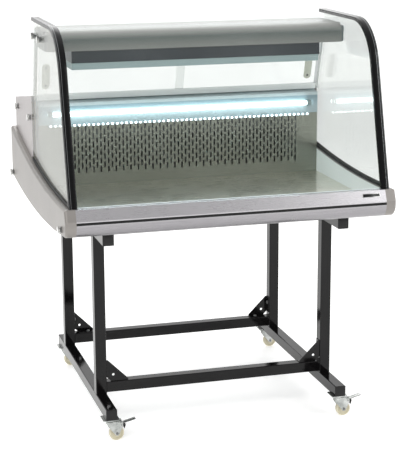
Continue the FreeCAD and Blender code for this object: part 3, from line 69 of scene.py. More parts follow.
@dataclass(frozen=True)
class Signal:
    """A shader socket that can be used in an expression.

    Attributes:
        sheet: The node sheet that the socket belongs to.
        socket: The output socket that carries the value.
    """

    sheet: "NodeSheet"
    socket: bpy.types.NodeSocket

    def __add__(self, other: "Term") -> "Signal":
        """Add a value."""
        return self.sheet.maths("ADD", self, other)

    def __radd__(self, other: "Term") -> "Signal":
        """Add to a value."""
        return self.sheet.maths("ADD", other, self)

    def __sub__(self, other: "Term") -> "Signal":
        """Subtract a value."""
        return self.sheet.maths("SUBTRACT", self, other)

    def __rsub__(self, other: "Term") -> "Signal":
        """Subtract from a value."""
        return self.sheet.maths("SUBTRACT", other, self)

    def __mul__(self, other: "Term") -> "Signal":
        """Multiply by a value."""
        return self.sheet.maths("MULTIPLY", self, other)

    def __rmul__(self, other: "Term") -> "Signal":
        """Multiply a value."""
        return self.sheet.maths("MULTIPLY", other, self)

    def __truediv__(self, other: "Term") -> "Signal":
        """Divide by a value."""
        return self.sheet.maths("DIVIDE", self, other)

    def __rtruediv__(self, other: "Term") -> "Signal":
        """Divide a value."""
        return self.sheet.maths("DIVIDE", other, self)

    def __pow__(self, other: "Term") -> "Signal":
        """Raise to a power."""
        return self.sheet.maths("POWER", self, other)

    def __rpow__(self, other: "Term") -> "Signal":
        """Raise a value to this power."""
        return self.sheet.maths("POWER", other, self)

    def __abs__(self) -> "Signal":
        """Return the size without the sign."""
        return self.sheet.maths("ABSOLUTE", self)

    def fraction(self) -> "Signal":
        """Return the part after the decimal point."""
        return self.sheet.maths("FRACT", self)

    def clamped(self) -> "Signal":
        """Return the signal held between nought and one."""
        return self.sheet.maths("MAXIMUM", self.sheet.maths("MINIMUM", self, 1.0), 0.0)


Term = Signal | float


class NodeSheet:
    """A node tree, written as expressions."""

    def __init__(self, name: str, kind: str = "materials") -> None:
        """Start an empty sheet.

        Args:
            name: The name of what it belongs to.
            kind: The list that its owner goes in, such as materials or worlds.
        """
        self.owner = getattr(bpy.data, kind).new(name)
        self.owner.use_nodes = True
        self.nodes = self.owner.node_tree.nodes
        self.links = self.owner.node_tree.links
        self.nodes.clear()
        self.place = Signal(self, self.add("ShaderNodeTexCoord").outputs["Object"])

    def add(self, kind: str, settings: dict | None = None, values: dict | None = None) -> bpy.types.Node:
        """Add a node.

        Args:
            kind: The node's type.
            settings: Its own settings, which are set first.
            values: Values or signals for its sockets, by name, identifier or number.

        Returns:
            The new node.
        """
        node = self.nodes.new(kind)
        for key, value in (settings or {}).items():
            setattr(node, key, value)
        for key, value in (values or {}).items():
            socket = self._socket(node, key)
            if isinstance(value, Signal):
                self.links.new(value.socket, socket)
            elif isinstance(value, bpy.types.NodeSocket):
                self.links.new(value, socket)
            else:
                socket.default_value = (*value, 1.0) if self._needs_alpha(socket, value) else value
        return node

    @staticmethod
    def _socket(node: bpy.types.Node, key: str | int) -> bpy.types.NodeSocket:
        """Find an input by number, identifier or name."""
        if isinstance(key, int):
            return node.inputs[key]
        return next((s for s in node.inputs if s.identifier == key), None) or node.inputs[key]

    @staticmethod
    def _needs_alpha(socket: bpy.types.NodeSocket, value: object) -> bool:
        """Say whether a three-part colour goes to a four-part socket."""
        return socket.type == "RGBA" and isinstance(value, tuple) and len(value) == 3

    def maths(self, operation: str, *values: Term) -> Signal:
        """Add a Math node and return what it gives."""
        node = self.add("ShaderNodeMath", {"operation": operation}, dict(enumerate(values)))
        return Signal(self, node.outputs[0])

    def stretched(self, scale: Point) -> Signal:
        """Return the object's coordinates stretched along each axis."""
        node = self.add("ShaderNodeVectorMath", {"operation": "MULTIPLY"}, {0: self.place, 1: scale})
        return Signal(self, node.outputs[0])

    def axis(self, name: str) -> Signal:
        """Return one of the object's coordinates, X, Y or Z."""
        node = self.add("ShaderNodeSeparateXYZ", None, {0: self.place})
        return Signal(self, node.outputs[name])

    def noise(self, scale: float, detail: float = 3.0, where: Signal | None = None) -> Signal:
        """Return fractal noise from nought to one."""
        values = {"Vector": where or self.place, "Scale": scale, "Detail": detail, "Roughness": 0.55}
        return Signal(self, self.add("ShaderNodeTexNoise", None, values).outputs["Fac"])

    def cells(self, scale: float) -> Signal:
        """Return the distance from the middles of a cell pattern."""
        node = self.add("ShaderNodeTexVoronoi", None, {"Vector": self.place, "Scale": scale})
        return Signal(self, node.outputs["Distance"])

    def remap(self, value: Term, low: float, high: float, to_low: float, to_high: float) -> Signal:
        """Return a value moved from one range to another and held inside it."""
        values = {"Value": value, "From Min": low, "From Max": high, "To Min": to_low, "To Max": to_high}
        return Signal(self, self.add("ShaderNodeMapRange", {"clamp": True}, values).outputs[0])

    def blend(self, share: Term, first: Colour | Signal, second: Colour | Signal) -> Signal:
        """Return a colour between two, by a share."""
        values = {"Factor_Float": share, "A_Color": first, "B_Color": second}
        node = self.add("ShaderNodeMix", {"data_type": "RGBA"}, values)
        return Signal(self, next(s for s in node.outputs if s.identifier == "Result_Color"))

    def under(self, levels: tuple[float, float]) -> Signal:
        """Return one below a pair of levels and nought above it."""
        return self.remap(self.axis("Z"), *levels, 1.0, 0.0)

    def relief(self, height: Signal, depth: float) -> Signal:
        """Return a normal roughened by a height, in metres of depth."""
        node = self.add("ShaderNodeBump", None, {"Strength": 1.0, "Distance": depth, "Height": height})
        return Signal(self, node.outputs[0])

    def surface(self, base: Colour | Signal, roughness: Term, **values: object) -> bpy.types.NodeSocket:
        """Add a Principled shader.

        Args:
            base: Base colour.
            roughness: Roughness.
            **values: Other sockets, with underscores for spaces.

        Returns:
            The shader's output socket.
        """
        sockets = {"Base Color": base, "Roughness": roughness}
        sockets.update({key.replace("_", " "): value for key, value in values.items()})
        return self.add("ShaderNodeBsdfPrincipled", None, sockets).outputs[0]

    def done(self, shader: bpy.types.NodeSocket) -> bpy.types.Material:
        """Join the shader to the output and return the material."""
        self.add("ShaderNodeOutputMaterial", None, {"Surface": shader})
        return self.owner


# ---------------------------------------------------------------------------------------------------
# Finishes
# ---------------------------------------------------------------------------------------------------


@dataclass(frozen=True)
class GlossLacquer:
    """Sprayed gloss paint with a slight orange peel, dust and fine scuffs.

    Attributes:
        colour: The paint's colour.
        dust: The colour of dust that dulls it in patches.
        gloss: Roughness where it is clean.
        peel: Depth of the orange peel in metres.
        shine: How strongly it mirrors, where 0.5 is common paint.
    """

    colour: Colour
    dust: Colour
    gloss: float = 0.07
    peel: float = 0.00005
    shine: float = 0.5

    def make(self, name: str) -> bpy.types.Material:
        """Make the paint.

        Args:
            name: The material's name.

        Returns:
            The material.
        """
        sheet = NodeSheet(name)
        cloud = sheet.noise(9.0, 5.0)
        scuff = sheet.remap(sheet.noise(60.0, 6.0, sheet.stretched((1, 1, 4))), 0.62, 0.8, 0.0, 1.0)
        film = (sheet.remap(cloud, 0.45, 0.8, 0.0, 0.05) + scuff * 0.05).clamped()
        peel = sheet.relief(sheet.noise(420.0, 2.0), self.peel)
        shader = sheet.surface(sheet.blend(film, self.colour, self.dust), self.gloss + film * 1.6,
                               Normal=peel, Specular_IOR_Level=self.shine)
        return sheet.done(shader)


@dataclass(frozen=True)
class SatinPaint:
    """Powder coat: a fine grain, a slow drift of tone and, if asked, painted shade that turns with the level.

    Attributes:
        colour: The paint's colour.
        shade: The darker tone that it drifts to, also the painted shade below the turn.
        roughness: Mean roughness.
        grain: Depth of the grain in metres.
        metallic: How metallic the paint is.
        turn: The two levels between which painted shade below turns to its colour above.
        shine: How strongly it mirrors, where 0.5 is common paint.
        lip: How far below the turn painted light makes it pale again towards the lower edge.
    """

    colour: Colour
    shade: Colour
    roughness: float = 0.38
    grain: float = 0.00008
    metallic: float = 0.0
    turn: tuple[float, float] | None = None
    shine: float = 0.5
    lip: tuple[float, float] = (0.045, 0.005)

    def make(self, name: str) -> bpy.types.Material:
        """Make the paint.

        Args:
            name: The material's name.

        Returns:
            The material.
        """
        sheet = NodeSheet(name)
        drift = sheet.remap(sheet.noise(2.6, 3.0), 0.35, 0.7, 0.0, 0.5)
        speck = sheet.remap(sheet.noise(1600.0, 1.0), 0.35, 0.7, 0.0, 0.12)
        grain = sheet.relief(sheet.noise(650.0, 3.0), self.grain)
        tone = (drift + speck).clamped()
        # Painted shade below the turn levels, and painted light that makes it paler again towards the lower
        # edge.
        if self.turn:
            edge, start = (self.turn[0] - depth for depth in self.lip)
            painted_lip_light = sheet.remap(sheet.axis("Z"), edge, start, 0.5, 0.0)
            tone = (sheet.under(self.turn) * (1 - tone * 0.06) - painted_lip_light).clamped()
        shader = sheet.surface(sheet.blend(tone, self.colour, self.shade),
                               self.roughness + sheet.noise(22.0, 3.0) * 0.06 - 0.03,
                               Metallic=self.metallic, Normal=grain, Specular_IOR_Level=self.shine)
        return sheet.done(shader)


class Grain(Enum):
    """The direction that a metal was rolled or brushed in."""

    ALONG_X = (1.0, 60.0, 60.0)
    ALONG_Z = (60.0, 60.0, 1.0)


@dataclass(frozen=True)
class BrushedMetal:
    """Rolled or brushed metal with fine lines along its grain, faint handling marks and, if asked, painted
    shade below a level.

    Attributes:
        colour: The metal's colour.
        shade: The tone in the lines, also the painted shade below the turn.
        grain: The lines' direction.
        roughness: Mean roughness.
        depth: Depth of the lines in metres.
        turn: The two levels between which painted shade below turns to its colour above.
    """

    colour: Colour
    shade: Colour
    grain: Grain = Grain.ALONG_X
    roughness: float = 0.28
    depth: float = 0.00003
    turn: tuple[float, float] | None = None

    def make(self, name: str) -> bpy.types.Material:
        """Make the metal.

        Args:
            name: The material's name.

        Returns:
            The material.
        """
        sheet = NodeSheet(name)
        lines = sheet.noise(14.0, 5.0, sheet.stretched(self.grain.value))
        marks = sheet.remap(sheet.noise(6.0, 6.0), 0.5, 0.75, 0.0, 0.5)
        tone = sheet.remap(lines, 0.3, 0.7, 0.0, 0.55) + marks * 0.3
        # Painted shade: darker below the turn levels.
        if self.turn:
            tone = tone * 0.3 + sheet.under(self.turn) * 0.8
        tone = tone.clamped()
        shader = sheet.surface(sheet.blend(tone, self.colour, self.shade),
                               self.roughness + lines * 0.16 - 0.08 + marks * 0.10,
                               Metallic=1.0, Normal=sheet.relief(lines, self.depth))
        return sheet.done(shader)


@dataclass(frozen=True)
class ZincPlate:
    """Zinc plating with its small crystals and a slight greenish or yellowish passivation.

    Attributes:
        colour: The plating's colour.
        tinge: The colour of the passivation.
        crystal: Number of crystals across a metre.
        roughness: Mean roughness.
    """

    colour: Colour
    tinge: Colour
    crystal: float = 160.0
    roughness: float = 0.32

    def make(self, name: str) -> bpy.types.Material:
        """Make the plating.

        Args:
            name: The material's name.

        Returns:
            The material.
        """
        sheet = NodeSheet(name)
        crystals = sheet.cells(self.crystal)
        cloud = sheet.remap(sheet.noise(30.0, 5.0), 0.35, 0.7, 0.0, 1.0)
        tone = (cloud * 0.8 + crystals * 0.15).clamped()
        shader = sheet.surface(sheet.blend(tone, self.colour, self.tinge),
                               self.roughness + crystals * 0.10 + cloud * 0.08,
                               Metallic=0.9, Normal=sheet.relief(sheet.noise(500.0, 3.0), 0.00002))
        return sheet.done(shader)


@dataclass(frozen=True)
class MouldedPlastic:
    """Moulded plastic or rubber with a fine skin texture and slightly rubbed high spots.

    Attributes:
        colour: The plastic's colour.
        rubbed: The paler tone of rubbed spots.
        roughness: Mean roughness.
        texture: Depth of the skin texture in metres.
        bloom: How much of the surface is rubbed.
        shine: How strongly it mirrors, where 0.5 is common plastic.
    """

    colour: Colour
    rubbed: Colour
    roughness: float = 0.42
    texture: float = 0.00006
    bloom: float = 0.35
    shine: float = 0.5

    def make(self, name: str) -> bpy.types.Material:
        """Make the plastic.

        Args:
            name: The material's name.

        Returns:
            The material.
        """
        sheet = NodeSheet(name)
        rub = sheet.remap(sheet.noise(45.0, 6.0), 0.5, 0.8, 0.0, self.bloom)
        skin = sheet.cells(1400.0) + sheet.noise(300.0, 2.0) * 0.5
        shader = sheet.surface(sheet.blend(rub, self.colour, self.rubbed), self.roughness + rub * 0.25,
                               Normal=sheet.relief(skin, self.texture), Specular_IOR_Level=self.shine)
        return sheet.done(shader)


@dataclass(frozen=True)
class ClearPane:
    """Clear glass or acrylic that mirrors more at a slant and carries a faint film of dust.

    Attributes:
        tint: Colour of what is seen through it.
        film: Colour of the dust.
        mirror: Share mirrored head on.
        rim: Share mirrored at a slant.
        haze: Largest share that the dust covers.
        falloff: How quickly the mirroring grows towards a slant.
    """

    tint: Colour
    film: Colour
    mirror: float = 0.03
    rim: float = 0.55
    haze: float = 0.05
    falloff: float = 2.6

    def make(self, name: str) -> bpy.types.Material:
        """Make the glass.

        Args:
            name: The material's name.

        Returns:
            The material.
        """
        sheet = NodeSheet(name)
        slant = Signal(sheet, sheet.add("ShaderNodeLayerWeight", None, {"Blend": 0.5}).outputs["Facing"])
        share = slant ** self.falloff * self.rim + self.mirror
        clear = sheet.add("ShaderNodeBsdfTransparent", None, {"Color": self.tint}).outputs[0]
        dust = sheet.remap(sheet.noise(5.0, 7.0), 0.4, 0.75, 0.0, self.haze)
        smear = sheet.remap(sheet.noise(16.0, 6.0), 0.3, 0.8, 0.02, 0.07)
        gloss = sheet.surface(self.film, smear, Specular_IOR_Level=1.0, Metallic=1.0)
        dull = sheet.surface(self.film, 0.6 + dust)
        lit = sheet.add("ShaderNodeMixShader", None, {0: share, 1: clear, 2: gloss}).outputs[0]
        dusty = sheet.add("ShaderNodeMixShader", None, {0: dust, 1: lit, 2: dull}).outputs[0]
        return sheet.done(dusty)


@dataclass(frozen=True)
class Diffuser:
    """A lit plastic diffuser whose light varies a little along its length.

    Attributes:
        colour: Colour of its plastic.
        light: Colour of its light.
        strength: Brightness.
        pitch: Distance between the lamps behind it in metres, or nought for an even glow.
        dim: Colour of its light in dim patches.
        gap: Colour of its light between two lamps.
    """

    colour: Colour
    light: Colour
    strength: float
    pitch: float = 0.0
    dim: Colour = paint("dcebee")
    gap: Colour = paint("b4cfd6")

    def make(self, name: str) -> bpy.types.Material:
        """Make the diffuser.

        Args:
            name: The material's name.

        Returns:
            The material.
        """
        sheet = NodeSheet(name)
        ripple = sheet.noise(40.0, 3.0)
        glow = sheet.blend(sheet.remap(ripple, 0.3, 0.7, 0.0, 0.3), self.light, self.dim)
        if self.pitch:
            wave = abs((sheet.axis("X") / self.pitch).fraction() - 0.5) * 2.0
            glow = sheet.blend(wave * 0.35, glow, self.gap)
        shader = sheet.surface(self.colour, 0.35 + ripple * 0.1, Emission_Color=glow,
                               Emission_Strength=self.strength)
        return sheet.done(shader)


@dataclass(frozen=True)
class InsulationFoam:
    """Poured foam with an open cut face, with painted shade in its pores.

    Attributes:
        colour: The foam's colour.
        pore: The painted shade in its pores.
    """

    colour: Colour
    pore: Colour

    def make(self, name: str) -> bpy.types.Material:
        """Make the foam.

        Args:
            name: The material's name.

        Returns:
            The material.
        """
        sheet = NodeSheet(name)
        pores = sheet.cells(420.0)
        # Painted shade: darker towards the middle of each recessed pore.
        shader = sheet.surface(sheet.blend(pores, self.pore, self.colour), 0.85 + pores * 0.1,
                               Normal=sheet.relief(pores, 0.0006))
        return sheet.done(shader)


class Finishes:
    """The object's finishes, each made once."""

    def __init__(self) -> None:
        """Make every finish."""
        make = {
            "stand_black": GlossLacquer(paint("090809"), paint("55514f"), shine=0.27),
            "cap_black": MouldedPlastic(paint("0c0b0c"), paint("262526"), 0.3, 0.00004, 0.35, 0.35),
            "profile_black": MouldedPlastic(paint("050506"), paint("131415"), 0.2, 0.00002, 0.2, 0.22),
            "seal_black": MouldedPlastic(paint("101111"), paint("292b2b"), 0.5, 0.0001, 0.3, 0.3),
            # Silver beads on the black profiles, real raised beads whose silver is partly a painted highlight
            # for reflected light lines.
            "profile_silver": BrushedMetal(paint("a4a6a7"), paint("86898a"), Grain.ALONG_Z, 0.2),
            # The front beam's lower part gets painted shade below the level of 0.812 to 0.826.
            "beam_aluminium": BrushedMetal(paint("c3c1c4"), paint("8f8d90"), Grain.ALONG_X, 0.28, 0.00003,
                                           (0.812, 0.826)),
            "blade_aluminium": BrushedMetal(paint("c9cbcb"), paint("a9adae"), Grain.ALONG_Z, 0.32),
            "screw_chrome": BrushedMetal(paint("d6d6d4"), paint("b4b4b2"), Grain.ALONG_X, 0.1),
            "pull_beige": SatinPaint(paint("f2f0e4"), paint("e6e4d6"), 0.34),
            "track_white": SatinPaint(paint("f6f8f7"), paint("e9ecec"), 0.3),
            "post_chrome": BrushedMetal(paint("b6babb"), paint("8b8f91"), Grain.ALONG_Z, 0.18),
            "bright_metal": BrushedMetal(paint("e2e2e0"), paint("bdbdbb"), Grain.ALONG_X, 0.16),
            "bolt_steel": ZincPlate(paint("8f9090"), paint("6c6d6b"), 300.0, 0.24),
            "caster_zinc": ZincPlate(paint("d0d2d0"), paint("7c807d"), 420.0, 0.12),
            "galvanised": ZincPlate(paint("b5b9ba"), paint("8e9496"), 70.0, 0.38),
            "wheel_cream": MouldedPlastic(paint("d3ccb3"), paint("b1a88c"), 0.34, 0.00008, 0.5),
            "panel_grey": SatinPaint(paint("8f8b87"), paint("7e7976"), 0.34, 0.00003, 0.3),
            "housing_grey": SatinPaint(paint("aba6a5"), paint("9c9797"), 0.36, 0.00004),
            # The roof's front carries painted shade below its top, with painted light towards the lower lip.
            "roof_white": SatinPaint(paint("9a9995"), paint("5b615e"), 0.38, 0.00003, 0.0,
                                     (1.388, 1.412), 0.2),
            "bracket_slate": SatinPaint(paint("586062"), paint("424a4c"), 0.3),
            "lamp_slate": SatinPaint(paint("34393d"), paint("24292c"), 0.32),
            "lamp_cover_grey": MouldedPlastic(paint("8ea0a1"), paint("95a5a6"), 0.4),
            "deck_steel": BrushedMetal(paint("efece2"), paint("d6d2c4"), Grain.ALONG_X, 0.28),
            "liner_steel": SatinPaint(paint("f4fafa"), paint("e6eeef"), 0.3, 0.00004),
            "grille_steel": BrushedMetal(paint("96998f"), paint("7b7e76"), Grain.ALONG_X, 0.3),
            # The canopy's upward slope gets painted light; the face below it is painted in a shaded tone.
            "canopy_steel": SatinPaint(paint("b9c6c9"), paint("8298a0"), 0.4, 0.00004, 0.1,
                                       (1.1115, 1.1145)),
            "coil_aluminium": BrushedMetal(paint("b9bdbf"), paint("8c9194"), Grain.ALONG_Z, 0.4),
            "foam_yellow": InsulationFoam(paint("e0cf96"), paint("a8945c")),
            "fan_black": MouldedPlastic(paint("1a1b1d"), paint("36393c"), 0.5),
            "compressor_black": GlossLacquer(paint("111213"), paint("5d5c5a"), 0.25),
            "screen_black": MouldedPlastic(paint("07080a"), paint("16181c"), 0.12, 0.00001, 0.1),
            "switch_green": MouldedPlastic(paint("2d8c4a"), paint("54a86b"), 0.3),
            "pane": ClearPane((0.935, 0.945, 0.941), paint("e0e0dc"), 0.03, 0.5, 0.03),
            "front_pane": ClearPane((0.972, 0.980, 0.979), paint("eef2f2"), 0.008, 0.14, 0.008),
            "lamp_bar": Diffuser(paint("e8f4fa"), paint("eaf5f5"), 9.0, 0.025),
            "lamp_chip": Diffuser(paint("f4fbff"), paint("ecf9fb"), 6.0),
        }
        self.book = {name: finish.make(name) for name, finish in make.items()}

    def __getitem__(self, name: str) -> bpy.types.Material:
        """Return a finish by name."""
        return self.book[name]

    def dress(self, looks: dict[str, str]) -> None:
        """Give nodes of the frame their finishes.

        Args:
            looks: The finish's name for each node's name.
        """
        for node, finish in looks.items():
            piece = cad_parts[node]
            if not piece.material_slots:
                piece.data.materials.append(self.book[finish])
            for holder in piece.material_slots:
                holder.material = self.book[finish]
            log.info("%s dressed in %s", node, finish)


# ---------------------------------------------------------------------------------------------------
# Mesh work
# ---------------------------------------------------------------------------------------------------


def each_once(items: Iterable) -> list:
    """List items without repeats in the order that they come in, so that each run builds the same mesh."""
    return list(dict.fromkeys(items))


class Axis(Enum):
    """An axis of the frame, as a unit vector."""

    X = (1.0, 0.0, 0.0)
    Y = (0.0, 1.0, 0.0)
    Z = (0.0, 0.0, 1.0)


@dataclass
class Workpiece:
    """A mesh in the making, with the finishes of its faces.

    Attributes:
        name: The piece's name.
        finishes: Its finishes; the number of a face's finish is its place in this list.
        mesh: The mesh itself.
        corner: The least angle between two faces at which a plate's edge is rounded.
    """

    name: str
    finishes: list[bpy.types.Material]
    mesh: bmesh.types.BMesh = field(default_factory=bmesh.new)
    corner: float = math.radians(35)

    def _number(self, before: set[bmesh.types.BMFace], finish: int) -> None:
        """Set the finish of the faces that aren't among the earlier ones."""
        for face in self.mesh.faces:
            if face not in before:
                face.material_index = finish

    def block(self, low: Sequence[float], high: Sequence[float], edge: float = 0.0, finish: int = 0,
              turn: Matrix | None = None, steps: int = 2) -> None:
        """Add a block with rounded edges.

        Args:
            low: Its lowest corner.
            high: Its highest corner.
            edge: Radius of its edges, or nought for sharp ones.
            finish: Number of its finish.
            turn: A transform that is applied last.
            steps: Number of faces across an edge.
        """
        before = set(self.mesh.faces)
        low, high = Vector(low), Vector(high)
        place = Matrix.Translation((low + high) / 2) @ Matrix.Diagonal((*(high - low), 1.0))
        made = bmesh.ops.create_cube(self.mesh, size=1.0, matrix=place)["verts"]
        if edge:
            rims = each_once(e for v in made for e in v.link_edges)
            made = bmesh.ops.bevel(self.mesh, geom=rims, offset=edge, segments=steps, profile=0.5,
                                   affect="EDGES", material=-1, clamp_overlap=True)["verts"]
        if turn is not None:
            whole = self._linked(made)
            bmesh.ops.transform(self.mesh, matrix=turn, verts=whole)
        self._number(before, finish)

    def _linked(self, verts: Iterable[bmesh.types.BMVert]) -> list[bmesh.types.BMVert]:
        """Find what is joined to some vertices.

        Args:
            verts: The vertices to start from.

        Returns:
            Every vertex that edges join to them, and they themselves.
        """
        seen, queue = {}, [v for v in verts if v.is_valid]
        while queue:
            vert = queue.pop()
            if vert not in seen:
                seen[vert] = True
                queue.extend(e.other_vert(vert) for e in vert.link_edges)
        return list(seen)

    def turned(self, profile: Sequence[tuple[float, float]], start: Sequence[float], along: Axis,
               steps: int = 32, finish: int = 0, flip: bool = False) -> list[bmesh.types.BMVert]:
        """Add a body of revolution.

        Args:
            profile: Its (distance along the axis, radius) points.
            start: The point on the axis that distances count from.
            along: The axis.
            steps: Number of faces round it.
            finish: Number of its finish.
            flip: Whether distances count the other way.

        Returns:
            Its vertices.
        """
        before = set(self.mesh.faces)
        way = Vector(along.value) * (-1.0 if flip else 1.0)
        side = Vector((0, 0, 1)) if along is not Axis.Z else Vector((1, 0, 0))
        verts = [self.mesh.verts.new(Vector(start) + way * a + side * r) for a, r in profile]
        edges = [self.mesh.edges.new(pair) for pair in zip(verts, verts[1:])]
        bmesh.ops.spin(self.mesh, geom=verts + edges, cent=Vector(start), axis=Vector(along.value),
                       angle=math.tau, steps=steps, use_merge=True, use_duplicate=False)
        whole = self._linked(verts)
        bmesh.ops.remove_doubles(self.mesh, verts=whole, dist=1e-6)
        self._number(before, finish)
        return [v for v in whole if v.is_valid]

    def plate(self, outline: Sequence[tuple[float, float]], across: Axis, low: float, high: float,
              edge: float = 0.0, finish: int = 0, steps: int = 2) -> None:
        """Add a flat plate of an outline.

        Args:
            outline: Points in the plane across the axis, in X, Y, Z order.
            across: The axis across the plate.
            low: Where it starts along the axis.
            high: Where it ends.
            edge: Radius of its edges.
            finish: Number of its finish.
            steps: Number of faces across an edge.
        """
        before = set(self.mesh.faces)
        verts = [self.mesh.verts.new(self._on_plane(across, low, point)) for point in outline]
        face = self.mesh.faces.new(verts)
        made = bmesh.ops.extrude_face_region(self.mesh, geom=[face])["geom"]
        moved = [item for item in made if isinstance(item, bmesh.types.BMVert)]
        bmesh.ops.translate(self.mesh, vec=Vector(across.value) * (high - low), verts=moved)
        if edge:
            rims = each_once(e for v in verts + moved for e in v.link_edges if len(e.link_faces) == 2
                             and e.calc_face_angle(0.0) > self.corner)
            bmesh.ops.bevel(self.mesh, geom=rims, offset=edge, segments=steps, profile=0.5,
                            affect="EDGES", material=-1, clamp_overlap=True)
        self._number(before, finish)

    @staticmethod
    def _on_plane(across: Axis, along: float, point: tuple[float, float]) -> Vector:
        """Return the 3-D point of a point in the plane across an axis."""
        a, b = point
        return Vector({Axis.X: (along, a, b), Axis.Y: (a, along, b), Axis.Z: (a, b, along)}[across])

    def finish(self, body: str, slot: str, *stands_for: str, smooth: float = 32.0) -> None:
        """Turn the work into a piece that rides on a body.

        Args:
            body: The CAD body that it rides on.
            slot: The record's material slot; not used.
            *stands_for: The CAD nodes that it replaces.
            smooth: Faces that meet at less than this angle, in degrees, are shaded smooth.
        """
        bmesh.ops.recalc_face_normals(self.mesh, faces=self.mesh.faces)
        data = bpy.data.meshes.new(self.name)
        self.mesh.to_mesh(data)
        self.mesh.free()
        data.shade_smooth()
        data.set_sharp_from_angle(angle=math.radians(smooth))
        for material in self.finishes:
            data.materials.append(material)
        piece = bpy.data.objects.new(self.name, data)
        bpy.context.scene.collection.objects.link(piece)
        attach(piece, body)
        if stands_for:
            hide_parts(*stands_for)
        log.info("%s rides on %s", self.name, body)


@dataclass
class SubAssembly(ABC):
    """A group of pieces that are built together.

    Attributes:
        finishes: The finishes to choose from.
    """

    finishes: Finishes

    @abstractmethod
    def build(self) -> None:
        """Dress the group's nodes and add its pieces."""

    def start(self, name: str, *finishes: str) -> Workpiece:
        """Start a piece.

        Args:
            name: The piece's name.
            *finishes: Names of its finishes.

        Returns:
            The empty workpiece.
        """
        return Workpiece(name, [self.finishes[finish] for finish in finishes])


# ---------------------------------------------------------------------------------------------------
# The stand
# ---------------------------------------------------------------------------------------------------


@dataclass
class Stand(SubAssembly):
    """The stand of square tube, with its gussets, bolts and caps.

    Attributes:
        wall: Thickness of the tubes' walls.
        cap_plate: Thickness of a cap's face.
        cap_edge: Radius of its edges.
        cap_step: Distance from its rim to its raised middle.
        plug_depth: Length of its plug inside the tube.
        bolt_radius: Radius of a bolt's head.
        gusset_sheet: Thickness of a gusset.
        gusset_inset: Distance from a gusset's edge to its bolts.
        bolt_offset: Distance from a gusset's corner to its bolts.
    """

    wall: float = 0.0018
    cap_plate: float = 0.003
    cap_edge: float = 0.0014
    cap_step: float = 0.0056
    plug_depth: float = 0.012
    bolt_radius: float = 0.0076
    gusset_sheet: float = 0.0025
    gusset_inset: float = 0.01625
    bolt_offset: float = 0.056

    def build(self) -> None:
        """Dress the tubes and add the caps and the bolts."""
        self.finishes.dress(dict.fromkeys(("left_runner", "right_runner", "left_arm", "right_arm",
                                           "stand_posts", "cross_beams", "corner_gussets"), "stand_black"))
        self.caps()
        self.bolts()

    def caps(self) -> None:
        """Add the moulded caps that close the open tube ends."""
        work = self.start("tube_caps", "cap_black")
        step, wall = self.cap_step, self.wall
        for node in ("left_runner", "right_runner", "left_arm", "right_arm"):
            low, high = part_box(node)
            for seat, outward in ((low.y, -1), (high.y, 1)):
                ends = sorted((seat, seat + outward * self.cap_plate))
                work.block((low.x, ends[0], low.z), (high.x, ends[1], high.z), self.cap_edge, steps=3)
                crown = sorted((seat, seat + outward * (self.cap_plate - 0.0002)))
                work.block((low.x + step, crown[0], low.z + step),
                           (high.x - step, crown[1] + 0.0001 * outward, high.z - step), 0.0008)
                plug = sorted((seat - outward * self.plug_depth, seat))
                work.block((low.x + wall, plug[0], low.z + wall),
                           (high.x - wall, plug[1], high.z - wall), 0.001)
        work.finish("root", "black_plastic", "tube_end_caps")

    def bolts(self) -> None:
        """Add the domed bolts of the gussets."""
        work = self.start("gusset_dome_bolts", "bolt_steel", "cap_black")
        low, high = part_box("corner_gussets")
        r = self.bolt_radius
        dome = [(0.0, 0.0), (0.0, r), (0.0012, r), (0.0030, r * 0.82), (0.0042, r * 0.48), (0.0044, 0.0027),
                (0.0024, 0.0025), (0.0024, 0.0)]
        for sign in (-1, 1):
            wall = high.x if sign > 0 else low.x
            for place in (low.y, high.y):
                y = place + (self.gusset_inset if place < 0 else -self.gusset_inset)
                post = (wall - sign * self.gusset_sheet, y, low.z + self.bolt_offset)
                beam = (wall - sign * self.bolt_offset, y, low.z + self.gusset_sheet)
                work.turned(dome, post, Axis.X, 24, flip=sign > 0)
                work.turned(dome, beam, Axis.Z, 24)
        work.finish("root", "dark_steel", "gusset_bolts")


# ---------------------------------------------------------------------------------------------------
# Casters
# ---------------------------------------------------------------------------------------------------


